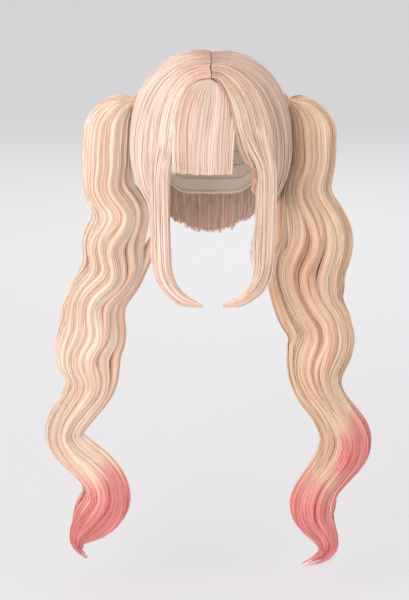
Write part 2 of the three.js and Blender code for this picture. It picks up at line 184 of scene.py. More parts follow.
def smooth_line(points: Array, count: int, crowding: float = 1.0) -> Array:
    """Runs a smooth line through points and spaces its new points along it.

    Args:
        points: the points to pass through, one a row.
        count: how many points the line gets.
        crowding: 1 for even spaces, more for points that crowd at the start.

    Returns:
        The line's points.
    """
    padded = np.vstack([2 * points[0] - points[1], points, 2 * points[-1] - points[-2]])
    knots = np.concatenate([[0], np.cumsum(np.linalg.norm(np.diff(padded, axis=0), axis=1) ** 0.5)])
    fine = []
    for i in range(1, len(padded) - 2):
        t0, t1, t2, t3 = knots[i - 1 : i + 3]
        p0, p1, p2, p3 = padded[i - 1 : i + 3]
        t = np.linspace(t1, t2, STEPS_BETWEEN_POINTS, endpoint=False)[:, None]
        a1 = (t1 - t) / (t1 - t0) * p0 + (t - t0) / (t1 - t0) * p1
        a2 = (t2 - t) / (t2 - t1) * p1 + (t - t1) / (t2 - t1) * p2
        a3 = (t3 - t) / (t3 - t2) * p2 + (t - t2) / (t3 - t2) * p3
        b1 = (t2 - t) / (t2 - t0) * a1 + (t - t0) / (t2 - t0) * a2
        b2 = (t3 - t) / (t3 - t1) * a2 + (t - t1) / (t3 - t1) * a3
        fine.append((t2 - t) / (t2 - t1) * b1 + (t - t1) / (t2 - t1) * b2)
    line = np.vstack([*fine, points[-1:]])
    length = np.concatenate([[0], np.cumsum(np.linalg.norm(np.diff(line, axis=0), axis=1))])
    places = np.linspace(0, 1, count) ** crowding * length[-1]
    return np.stack([np.interp(places, length, line[:, axis]) for axis in range(3)], axis=1)


def tangents(line: Array) -> Array:
    """Gives the direction of a line at each of its points.

    Args:
        line: the line's points.

    Returns:
        A unit vector for each point.
    """
    return unit(np.gradient(line, axis=0))


class NodeBuilder:
    """Adds nodes to a tree and wires them, for shader and geometry trees alike."""

    def __init__(self, tree: Tree) -> None:
        """Keeps the tree.

        Args:
            tree: the tree to build in.
        """
        self.tree = tree

    def add(self, kind: str, inputs: dict | None = None, **settings: object) -> bpy.types.Node:
        """Adds a node, with its settings and its inputs.

        Args:
            kind: the node's type.
            inputs: socket values or links, by the socket's name or number.
            settings: properties of the node.

        Returns:
            The new node.
        """
        node = self.tree.nodes.new(kind)
        for name, value in settings.items():
            setattr(node, name, value)
        for key, value in (inputs or {}).items():
            socket = node.inputs[key]
            if isinstance(value, Socket):
                self.tree.links.new(value, socket)
            else:
                socket.default_value = value
        return node

    def math(self, operation: str, *values: object) -> Socket:
        """Adds a maths node.

        Args:
            operation: the node's operation, such as "MULTIPLY".
            values: its inputs, numbers or sockets.

        Returns:
            The node's result.
        """
        return self.add("ShaderNodeMath", dict(enumerate(values)), operation=operation).outputs[0]

    def plus(self, first: object, second: object) -> Socket:
        """Adds two numbers."""
        return self.math("ADD", first, second)

    def minus(self, first: object, second: object) -> Socket:
        """Takes the second number from the first."""
        return self.math("SUBTRACT", first, second)

    def times(self, first: object, second: object) -> Socket:
        """Multiplies two numbers."""
        return self.math("MULTIPLY", first, second)

    def vector_scale(self, vector: object, scale: object) -> Socket:
        """Scales a vector by a number and gives the result."""
        node = self.add("ShaderNodeVectorMath", {0: vector, "Scale": scale}, operation="SCALE")
        return node.outputs[0]

    def vector_add(self, first: object, second: object) -> Socket:
        """Adds two vectors and gives the result."""
        return self.add("ShaderNodeVectorMath", {0: first, 1: second}, operation="ADD").outputs[0]

    def mix_colour(self, factor: object, first: object, second: object) -> Socket:
        """Mixes two colours by a factor.

        Args:
            factor: 0 for the first colour and 1 for the second.
            first: the first colour.
            second: the second colour.

        Returns:
            The mixed colour.
        """
        inputs = {0: factor, 6: first, 7: second}
        return self.add("ShaderNodeMix", inputs, data_type="RGBA").outputs[2]

    def noise(self, place: object, scale: float, detail: float, **more: float) -> Socket:
        """Adds a noise texture and gives its value."""
        inputs = {"Vector": place, "Scale": scale, "Detail": detail, **more}
        return self.add("ShaderNodeTexNoise", inputs).outputs["Fac"]

    def map_range(
        self, value: Socket, low: float, high: float, least: float = 0.0, **settings: str
    ) -> Socket:
        """Maps a value between low and high to a number between least and 1."""
        inputs = {"Value": value, "From Min": low, "From Max": high, "To Min": least}
        return self.add("ShaderNodeMapRange", inputs, **settings).outputs[0]

    def bump(self, strength: float, distance: float, height: object) -> Socket:
        """Adds a bump and gives its normal."""
        inputs = {"Strength": strength, "Distance": distance, "Height": height}
        return self.add("ShaderNodeBump", inputs).outputs["Normal"]


def new_socket(
    tree: Tree, name: str, kind: str, into: bool = True, value: object = None
) -> bpy.types.NodeTreeInterfaceSocket:
    """Adds a named input or output to a node group.

    Args:
        tree: the node group.
        name: the socket's name.
        kind: the socket's type.
        into: whether it is an input.
        value: an input's default.

    Returns:
        The new socket.
    """
    socket = tree.interface.new_socket(name, in_out="INPUT" if into else "OUTPUT", socket_type=kind)
    if value is not None:
        socket.default_value = value
    return socket


@dataclass(frozen=True)
class StrandStyle:
    """How strands grow round their guide lines. Lengths are in metres."""

    count: int
    radius: float = 0.00045
    lift: float = 0.0008
    wander: float = 0.001
    waves: float = 3.0
    tip: float = 0.35
    seed: int = 1


@dataclass
class GuideLines:
    """Lines that strands follow, with what each point of a line knows about its surface."""

    points: list[Array] = field(default_factory=list)
    across: list[Array] = field(default_factory=list)
    outward: list[Array] = field(default_factory=list)
    values: list[dict[str, Array]] = field(default_factory=list)

    def add(self, line: Array, across: Array, outward: Array, **values: Array | float) -> None:
        """Adds a line.

        Args:
            line: its points.
            across: the direction across the strands at each point.
            outward: the direction out of the hair at each point.
            values: numbers at each point, or one number for the line.
        """
        self.points.append(line)
        self.across.append(across)
        self.outward.append(outward)
        count = len(line)
        filled = {name: np.broadcast_to(np.asarray(v, float), count) for name, v in values.items()}
        filled["share"] = np.linspace(0, 1, count)
        self.values.append(filled)

    def mesh(self, name: str) -> Piece:
        """Makes the lines an object of loose edges.

        Args:
            name: the object's name.

        Returns:
            The object, with the lines' values as attributes.
        """
        points = np.vstack(self.points)
        edges, start = [], 0
        for line in self.points:
            index = np.arange(start, start + len(line))
            edges.append(np.stack([index[:-1], index[1:]], axis=1))
            start += len(line)
        mesh = bpy.data.meshes.new(name)
        mesh.from_pydata(points.tolist(), np.vstack(edges).tolist(), [])
        for key, vectors in (("across", self.across), ("outward", self.outward)):
            attribute = mesh.attributes.new(key, "FLOAT_VECTOR", "POINT")
            attribute.data.foreach_set("vector", np.vstack(vectors).astype(np.float32).ravel())
        for key in self.values[0]:
            attribute = mesh.attributes.new(key, "FLOAT", "POINT")
            numbers = np.concatenate([values[key] for values in self.values])
            attribute.data.foreach_set("value", numbers.astype(np.float32))
        return place_new(name, mesh)


SEED_STEP = 101
STRAND_SIDES = 3


class StrandGrower:
    """Grows strands of hair round guide lines with one geometry node tree."""

    def __init__(self) -> None:
        """Builds the tree, with named inputs for its sizes."""
        tree = bpy.data.node_groups.new("hair strands", "GeometryNodeTree")
        self.tree = tree
        new_socket(tree, "Guides", "NodeSocketGeometry")
        new_socket(tree, "Strands", "NodeSocketGeometry", into=False)
        kinds = {"count": "Int", "seed": "Int", "material": "Material"}
        self.inputs = {
            name: new_socket(tree, name.capitalize(), f"NodeSocket{kinds.get(name, 'Float')}")
            for name in (*(one.name for one in fields(StrandStyle)), "material")
        }
        self._wire()

    def _wire(self) -> None:
        """Adds the nodes and their links."""
        b = NodeBuilder(self.tree)
        given = b.add("NodeGroupInput").outputs

        def read(name: str, kind: str = "FLOAT") -> Socket:
            """Reads an attribute of the guide lines."""
            return b.add("GeometryNodeInputNamedAttribute", {"Name": name}, data_type=kind).outputs[0]

        curves = b.add("GeometryNodeMeshToCurve", {"Mesh": given["Guides"]}).outputs["Curve"]
        inputs = {"Geometry": curves, "Amount": given["Count"]}
        many = b.add("GeometryNodeDuplicateElements", inputs, domain="SPLINE").outputs["Geometry"]
        number = b.add("GeometryNodeInputIndex").outputs[0]

        def chance(offset: int) -> Socket:
            """Gives each strand its own number from 0 to 1."""
            seed = b.plus(given["Seed"], offset)
            drawn = b.add("FunctionNodeRandomValue", {"ID": number, "Seed": seed}, data_type="FLOAT")
            value = next(socket for socket in drawn.outputs if socket.enabled)
            settings = {"domain": "CURVE", "data_type": "FLOAT"}
            return b.add("GeometryNodeFieldOnDomain", {0: value}, **settings).outputs[0]

        aside = b.math("MULTIPLY_ADD", chance(11), 2.0, -1.0)
        height = chance(23)
        phase = b.times(chance(37), 90.0)
        share = read("share")
        along = b.times(share, given["Waves"])

        stray = b.math("POWER", chance(91), 3.0)
        unruly = b.times(b.math("MULTIPLY_ADD", stray, 3.0, 0.6), given["Wander"])

        def drift(row: float) -> Socket:
            """Gives a slow drift to either side along each strand."""
            place = b.add("ShaderNodeCombineXYZ", {"X": along, "Y": phase, "Z": row}).outputs[0]
            return b.times(b.minus(b.noise(place, 1.0, 0.0), 0.5), unruly)

        width = b.times(aside, read("spread"))
        loose = b.math("MINIMUM", b.times(share, 6.0), 1.0)
        sideways = b.plus(width, b.times(drift(0.0), loose))
        crest = b.minus(0.55, b.times(aside, aside))
        crest = b.plus(crest, b.times(b.minus(height, 0.5), 0.7))
        lifted = b.times(crest, given["Lift"])
        lifted = b.times(b.plus(lifted, b.times(drift(7.0), 0.5)), loose)
        lifted = b.times(lifted, read("looseness"))
        offset = b.vector_add(
            b.vector_scale(read("across", "FLOAT_VECTOR"), sideways),
            b.vector_scale(read("outward", "FLOAT_VECTOR"), lifted),
        )
        moved = b.add("GeometryNodeSetPosition", {"Geometry": many, "Offset": offset}).outputs[0]
        tint = b.plus(b.times(chance(53), 0.55), b.times(read("clump"), 0.5))
        # Painted shade: strands towards the edges of a clump get a lower tint, darker between clumps.
        tint = b.minus(tint, b.times(b.times(aside, aside), 0.24))
        inputs = {"Geometry": moved, "Name": "strand", "Value": tint}
        settings = {"data_type": "FLOAT", "domain": "POINT"}
        marked = b.add("GeometryNodeStoreNamedAttribute", inputs, **settings).outputs[0]
        taper = b.math("MULTIPLY_ADD", b.minus(1.0, share), 9.0, given["Tip"])
        body = b.math("MINIMUM", taper, 1.0)
        thickness = b.times(b.math("MULTIPLY_ADD", chance(71), 0.5, 0.75), given["Radius"])
        circle = {"Resolution": STRAND_SIDES, "Radius": 1.0}
        profile = b.add("GeometryNodeCurvePrimitiveCircle", circle).outputs["Curve"]
        inputs = {"Curve": marked, "Profile Curve": profile, "Scale": b.times(body, thickness)}
        solid = b.add("GeometryNodeCurveToMesh", {**inputs, "Fill Caps": True}).outputs["Mesh"]
        smooth = b.add("GeometryNodeSetShadeSmooth", {"Geometry": solid, "Shade Smooth": True}).outputs[0]
        real = b.add("GeometryNodeRealizeInstances", {"Geometry": smooth}).outputs[0]
        inputs = {"Geometry": real, "Material": given["Material"]}
        b.add("NodeGroupOutput", {"Strands": b.add("GeometryNodeSetMaterial", inputs).outputs[0]})

    def grow(
        self, name: str, guides: GuideLines, style: StrandStyle, material: Material
    ) -> Piece:
        """Grows strands and makes them one plain mesh.

        Args:
            name: the piece's name.
            guides: the lines that the strands follow.
            style: how they grow.
            material: what they are made of.

        Returns:
            The piece.
        """
        holder = guides.mesh(f"{name}_guides")
        modifier = holder.modifiers.new("strands", "NODES")
        modifier.node_group = self.tree
        values = asdict(style) | {"seed": style.seed * SEED_STEP, "material": material}
        for key, value in values.items():
            modifier[self.inputs[key].identifier] = value
        evaluated = holder.evaluated_get(bpy.context.evaluated_depsgraph_get())
        mesh = bpy.data.meshes.new_from_object(evaluated)
        mesh.name = name
        if not mesh.materials:
            mesh.materials.append(material)
        bpy.data.objects.remove(holder)
        return place_new(name, mesh)


@dataclass
class RingSurface:
    """A closed surface through rings of points, with streak coordinates and values for its material."""

    rings: Array
    values: dict[str, Array] = field(default_factory=dict)
    streak_width: float = 0.0009
    streak_length: float = 0.05
    strip_ends: bool = False
    crease_degrees: float = 55.0

    def _faces(self) -> list[tuple[int, ...]]:
        """Gives the quads between rings, then the faces that close both ends."""
        rows, count = self.rings.shape[:2]
        a = np.arange(rows - 1)[:, None] * count + np.arange(count)[None, :]
        nxt = (np.arange(count) + 1) % count
        b = np.arange(rows - 1)[:, None] * count + nxt[None, :]
        faces = np.stack([a, b, b + count, a + count], axis=-1).reshape(-1, 4).tolist()
        for start, turned in ((0, True), ((rows - 1) * count, False)):
            if self.strip_ends:
                end = [
                    (start + i, start + i + 1, start + count - 2 - i, start + count - 1 - i)
                    for i in range(count // 2 - 1)
                ]
            else:
                end = [tuple(range(start, start + count))]
            faces.extend(face[::-1] if turned else face for face in end)
        return faces

    def _streaks(self, faces: list[tuple[int, ...]]) -> Array:
        """Gives each face corner its place across and along the strands."""
        rows, count = self.rings.shape[:2]
        closed = np.concatenate([self.rings, self.rings[:, :1]], axis=1)
        width = np.linalg.norm(np.diff(closed, axis=1), axis=2).mean(axis=0)
        across = np.concatenate([[0], np.cumsum(width)]) / self.streak_width
        length = np.linalg.norm(np.diff(self.rings, axis=0), axis=2).mean(axis=1)
        along = np.concatenate([[0], np.cumsum(length)]) / self.streak_length
        corners = []
        for face in faces:
            columns = [index % count for index in face]
            wraps = max(columns) == count - 1 and min(columns) == 0 and len(face) == 4
            for index in face:
                column = count if wraps and index % count == 0 else index % count
                corners.append((across[column], along[index // count]))
        return np.array(corners, np.float32)

    def make(self, name: str, material: Material) -> Piece:
        """Makes the surface a mesh object with faces that point out.

        Args:
            name: the piece's name.
            material: what it is made of.

        Returns:
            The piece.
        """
        faces = self._faces()
        mesh = streaked_mesh(name, self.rings, faces, self._streaks(faces), material)
        for key, numbers in self.values.items():
            attribute = mesh.attributes.new(key, "FLOAT", "POINT")
            filled = np.broadcast_to(numbers, self.rings.shape[:2]).astype(np.float32)
            attribute.data.foreach_set("value", filled.ravel())
        mesh.set_sharp_from_angle(angle=math.radians(self.crease_degrees))
        return place_new(name, mesh)


def signed_volume(mesh: bpy.types.Mesh) -> float:
    """Measures a closed mesh, below zero where its faces point in.

    Args:
        mesh: the mesh.

    Returns:
        Its volume in cubic metres.
    """
    mesh.calc_loop_triangles()
    points = np.empty(len(mesh.vertices) * 3, np.float64)
    mesh.vertices.foreach_get("co", points)
    corners = np.empty(len(mesh.loop_triangles) * 3, np.int64)
    mesh.loop_triangles.foreach_get("vertices", corners)
    a, b, c = points.reshape(-1, 3)[corners.reshape(-1, 3)].transpose(1, 0, 2)
    return float(np.einsum("ij,ij->", a, np.cross(b, c)) / 6)


def streaked_mesh(
    name: str, rings: Array, faces: list[tuple[int, ...]], streaks: Array, material: Material
) -> bpy.types.Mesh:
    """Makes a closed mesh whose faces point out, with streak coordinates for its material.

    Args:
        name: the mesh's name.
        rings: its points, in rings.
        faces: the points of each face.
        streaks: the place of each face corner across and along the strands.
        material: what it is made of.

    Returns:
        The mesh.
    """
    mesh = bpy.data.meshes.new(name)
    mesh.from_pydata(rings.reshape(-1, 3).tolist(), [], faces)
    mesh.uv_layers.new(name="streaks").data.foreach_set("uv", streaks.ravel())
    mesh.update()
    if signed_volume(mesh) < 0:
        mesh.flip_normals()
    mesh.shade_smooth()
    mesh.materials.append(material)
    return mesh


def join(name: str, parts: list[Piece]) -> Piece:
    """Joins objects into the first one.

    Args:
        name: the joined object's name.
        parts: the objects.

    Returns:
        The joined object.
    """
    with bpy.context.temp_override(
        active_object=parts[0], selected_objects=parts, selected_editable_objects=parts
    ):
        bpy.ops.object.join()
    parts[0].name = name
    parts[0].data.name = name
    return parts[0]


def seat(piece: Piece, slot: str, *nodes: str) -> Piece:
    """Puts a piece on the wig's one body and hides the nodes that it stands for.

    Args:
        piece: the piece.
        slot: the record's material slot; not used.
        nodes: the nodes that it replaces, if any.

    Returns:
        The piece.
    """
    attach(piece, "root")
    if nodes:
        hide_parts(*nodes)
    LOG.info("%s: %d faces", piece.name, len(piece.data.polygons))
    return piece


@dataclass(frozen=True)
class Finish:
    """A finish that one principled shader shows."""

    name: str

    def inputs(self, b: NodeBuilder) -> dict[str, object]:
        """Wires the finish's pattern and gives the shader's inputs by name."""
        raise NotImplementedError

    def material(self) -> Material:
        """Makes the finish's material.

        Returns:
            The material.
        """
        made = bpy.data.materials.new(self.name)
        made.use_nodes = True
        made.node_tree.nodes.clear()
        b = NodeBuilder(made.node_tree)
        shader = b.add("ShaderNodeBsdfPrincipled", self.inputs(b))
        b.add("ShaderNodeOutputMaterial", {"Surface": shader.outputs[0]})
        return made


FIBRE_COLOURS = ("Light", "Dark", "Dyed Light", "Dyed Dark")


@dataclass(frozen=True)
class HairFinish(Finish):
    """Synthetic hair: a light and a dark fibre, the dark one also the colour of painted shade, and the
    dyed pair that its tips fade to.
    """

    light: Colour
    dark: Colour
    dyed_light: Colour = (249, 178, 172)
    dyed_dark: Colour = (202, 74, 78)
    roughness: float = 0.42

    def inputs(self, b: NodeBuilder) -> dict[str, object]:
        """Wires the fibre's pattern.

        Args:
            b: adds the nodes.

        Returns:
            The shader's inputs by name.
        """
        fibre = b.add("ShaderNodeGroup", node_tree=fibre_group())
        colours = (self.light, self.dark, self.dyed_light, self.dyed_dark)
        for name, colour in zip(FIBRE_COLOURS, colours, strict=True):
            fibre.inputs[name].default_value = linear(colour)
        fibre.inputs["Roughness"].default_value = self.roughness
        return {
            "Base Color": fibre.outputs["Color"],
            "Roughness": fibre.outputs["Roughness"],
            "Normal": b.bump(0.35, 0.0006, fibre.outputs["Height"]),
            "IOR": 1.5,
            "Specular IOR Level": 0.42,
            "Anisotropic": 0.55,
            "Sheen Weight": 0.12,
            "Sheen Roughness": 0.4,
            "Sheen Tint": (1.0, 0.86, 0.78, 1.0),
        }


def fibre_group() -> Tree:
    """Gives the shader group that all the hair shares: tint by strand, painted shade where that tint is
    low, streaks and dyed tips.

    Returns:
        The group, built once.
    """
    known = bpy.data.node_groups.get("hair fibre")
    if known:
        return known
    tree = bpy.data.node_groups.new("hair fibre", "ShaderNodeTree")
    for name in FIBRE_COLOURS:
        new_socket(tree, name, "NodeSocketColor", value=(0.8, 0.6, 0.5, 1.0))
    new_socket(tree, "Roughness", "NodeSocketFloat", value=0.4)
    new_socket(tree, "Color", "NodeSocketColor", into=False)
    new_socket(tree, "Roughness", "NodeSocketFloat", into=False)
    new_socket(tree, "Height", "NodeSocketFloat", into=False)
    b = NodeBuilder(tree)
    given = b.add("NodeGroupInput").outputs
    strand = b.add("ShaderNodeAttribute", attribute_name="strand").outputs["Fac"]
    dye = b.add("ShaderNodeAttribute", attribute_name="dye").outputs["Fac"]
    place = b.add("ShaderNodeTexCoord").outputs
    streaks = b.noise(place["UV"], 1.0, 2.0, Roughness=0.6)
    grain = {"Vector": place["Object"], "Scale": (60.0, 60.0, 9.0)}
    stretched = b.add("ShaderNodeMapping", grain).outputs[0]
    tone = b.noise(stretched, 1.0, 2.0)
    tint = b.plus(strand, b.times(b.minus(streaks, 0.5), 1.1))
    tint = b.plus(tint, b.times(b.minus(tone, 0.5), 0.55))
    tint_clamped = b.math("POWER", b.add("ShaderNodeClamp", {"Value": tint}).outputs[0], 0.6)
    natural = b.mix_colour(tint_clamped, given["Dark"], given["Light"])
    dyed = b.mix_colour(tint_clamped, given["Dyed Dark"], given["Dyed Light"])
    uneven = b.plus(dye, b.times(b.minus(strand, 0.5), 0.5))
    uneven = b.plus(uneven, b.times(b.minus(tone, 0.5), 0.7))
    reach = b.map_range(uneven, 0.2, 0.9, interpolation_type="SMOOTHSTEP")
    colour = b.mix_colour(reach, natural, dyed)
    # Painted shade: a tint below zero, which the roots' painted shade gives, darkens the colour down to
    # 0.74 of itself.
    colour = b.vector_scale(colour, b.map_range(strand, -0.45, 0.0, 0.74))
    rough = b.plus(given["Roughness"], b.times(b.minus(streaks, 0.5), 0.2))
    b.add("NodeGroupOutput", {"Color": colour, "Roughness": rough, "Height": streaks})
    return tree


@dataclass(frozen=True)
class NetFinish(Finish):
    """The cap's elastic net: a fine diamond mesh of warm beige thread."""

    name: str = "cap net"
    thread: Colour = (250, 242, 228)
    shade: Colour = (232, 218, 200)

    def inputs(self, b: NodeBuilder) -> dict[str, object]:
        """Wires the net's pattern.

        Args:
            b: adds the nodes.

        Returns:
            The shader's inputs by name.
        """
        place = b.add("ShaderNodeTexCoord").outputs["UV"]
        split = b.add("ShaderNodeSeparateXYZ", {"Vector": place}).outputs
        waves = []
        for sign in (1.0, -1.0):
            slant = b.math("MULTIPLY_ADD", split["Y"], sign, split["X"])
            waves.append(b.math("ABSOLUTE", b.math("SINE", b.times(slant, math.pi))))
        holes = b.times(waves[0], waves[1])
        edge = b.map_range(holes, 0.25, 0.55)
        colour = b.mix_colour(edge, linear(self.thread), linear(self.shade))
        bump = b.bump(0.6, 0.0004, b.minus(1.0, edge))
        return {"Base Color": colour, "Roughness": 0.85, "Normal": bump, "Sheen Weight": 0.2}


@dataclass(frozen=True)
class WeftFinish(Finish):
    """The stitched tape of the wefts and of the cap's edge."""

    name: str = "weft tape"
    colour: Colour = (250, 240, 226)
    seam: Colour = (232, 214, 196)

    def inputs(self, b: NodeBuilder) -> dict[str, object]:
        """Wires the tape's pattern.

        Args:
            b: adds the nodes.

        Returns:
            The shader's inputs by name.
        """
        place = b.add("ShaderNodeTexCoord").outputs["Object"]
        stitches = b.noise(place, 420.0, 2.0)
        colour = b.mix_colour(stitches, linear(self.seam), linear(self.colour))
        return {"Base Color": colour, "Roughness": 0.75, "Normal": b.bump(0.5, 0.0003, stitches)}


@dataclass(frozen=True)
class ElasticFinish(Finish):
    """A hair tie's covered elastic, with the slant of its wound thread."""

    name: str = "tie elastic"
    light: Colour = (228, 196, 146)
    dark: Colour = (184, 140, 98)

    def inputs(self, b: NodeBuilder) -> dict[str, object]:
        """Wires the elastic's pattern.

        Args:
            b: adds the nodes.

        Returns:
            The shader's inputs by name.
        """
        place = b.add("ShaderNodeTexCoord").outputs["UV"]
        wound = b.add(
            "ShaderNodeTexWave",
            {"Vector": place, "Scale": 1.0, "Distortion": 0.4, "Detail": 1.0},
            bands_direction="DIAGONAL",
        ).outputs["Fac"]
        colour = b.mix_colour(wound, linear(self.dark), linear(self.light))
        bump = b.bump(0.5, 0.0003, wound)
        return {"Base Color": colour, "Roughness": 0.4, "Normal": bump, "Sheen Weight": 0.1}


@dataclass(frozen=True)
class FloorFinish(Finish):
    """A plain pale floor."""

    name: str = "pale floor"
    colour: Colour = (224, 223, 225)

    def inputs(self, b: NodeBuilder) -> dict[str, object]:
        """Gives the shader's inputs by name."""
        return {"Base Color": linear(self.colour), "Roughness": 0.9, "Specular IOR Level": 0.2}


@dataclass(frozen=True)
class Head:
    """The head that the cap fits, and how the cap and the hair lie on it. Lengths in metres."""

    half_width: float = 0.077
    half_depth: float = 0.096
    top: float = 0.104
    cap_wall: float = 0.0016
    seat_gap: float = 0.0005
    loft: tuple[float, float, float] = (0.0198, 0.0142, 0.016)
    fullness: float = 0.06
    fringe_wall: float = 0.005
    nape_drop: float = 0.118

    @property
    def cap_outer(self) -> Array:
        """Half sizes of the cap's outside."""
        return np.array([self.half_width, self.half_depth, self.top]) + self.cap_wall

    @property
    def hair_inner(self) -> Array:
        """Half sizes of the hair's underside."""
        return self.cap_outer + self.seat_gap

    @property
    def crown_outer(self) -> Array:
        """Half sizes of the crown hair's outside."""
        return self.cap_outer + np.array(self.loft)

    def dome(self, direction: Array, size: Array) -> Array:
        """Finds points on a dome that is a little fuller than an oval.

        Args:
            direction: unit vectors from the head's middle.
            size: the dome's half sizes.

        Returns:
            The points.
        """
        height = direction[..., 2:] ** 2
        return direction * size * (1 + 4 * self.fullness * height * (1 - height))

    def normal(self, points: Array, size: Array) -> Array:
        """Gives the way out of the dome at points on it, level below the brow.

        Args:
            points: the points.
            size: the dome's half sizes.

        Returns:
            Unit vectors.
        """
        way = points / size**2
        way[..., 2] = np.maximum(way[..., 2], 0)
        return unit(way)


HEAD = Head()
BROW_SHARE = 0.7
CONTROL_LIFT = 0.45
PARTING_GAP = 0.0012
PARTING_DIP = 0.002

SECTION_COLUMNS = "at root comb sweep turn drop tuck loft"
LEFT_CROWN: Rows = named_rows(
    SECTION_COLUMNS,
    (0, -0.545, 90, 0.45, 30, 0.09, 0.02, 0.48),
    (0.05, -0.519, 90, 0.45, 34, 0.11, 0.03, 0.56),
    (0.2, -0.43, 90, 0.45, 47, 0.4, 0.1, 0.92),
    (0.45, -0.27, 92, 0.45, 73, 0.53, 0.2, 1),
    (0.72, -0.09, 98, 0.42, 100, 0.57, 0.21, 1),
    (1, 0.1, 112, 0.36, 125, 0.71, 0.22, 1),
)
RIGHT_CROWN: Rows = named_rows(
    SECTION_COLUMNS,
    (0, -0.545, 74, 0.13, 21, 0.15, -0.02, 0.47),
    (0.2, -0.43, 88, 0.32, 47, 0.42, 0.1, 0.92),
    (0.45, -0.27, 92, 0.43, 73, 0.53, 0.2, 1),
    (0.72, -0.09, 98, 0.42, 100, 0.57, 0.21, 1),
    (1, 0.1, 112, 0.36, 125, 0.71, 0.22, 1),
)
BACK_ROWS: Rows = named_rows(
    SECTION_COLUMNS,
    (0, 0.105, 112, 0.36, 125.3, 0.72, 0.22, 1),
    (0.25, 0.14, 140, 0.33, 150, 0.9, 0.25, 1),
    (0.5, 0.155, 180, 0.3, 180, 1, 0.28, 1),
    (0.75, 0.14, 220, 0.33, 210, 0.9, 0.25, 1),
    (1, 0.105, 248, 0.36, 234.7, 0.72, 0.22, 1),
)
FRINGE_ROWS: Rows = named_rows(
    SECTION_COLUMNS,
    (0, -0.5, -88, 0.62, -43, 1, 0, 0.8),
    (0.3, -0.53, -70, 0.4, -26, 1, 0, 1),
    (0.7, -0.54, 35, 0.25, 2, 1, 0, 1),
    (1, -0.51, 80, 0.5, 17.5, 1, 0, 0.9),
)


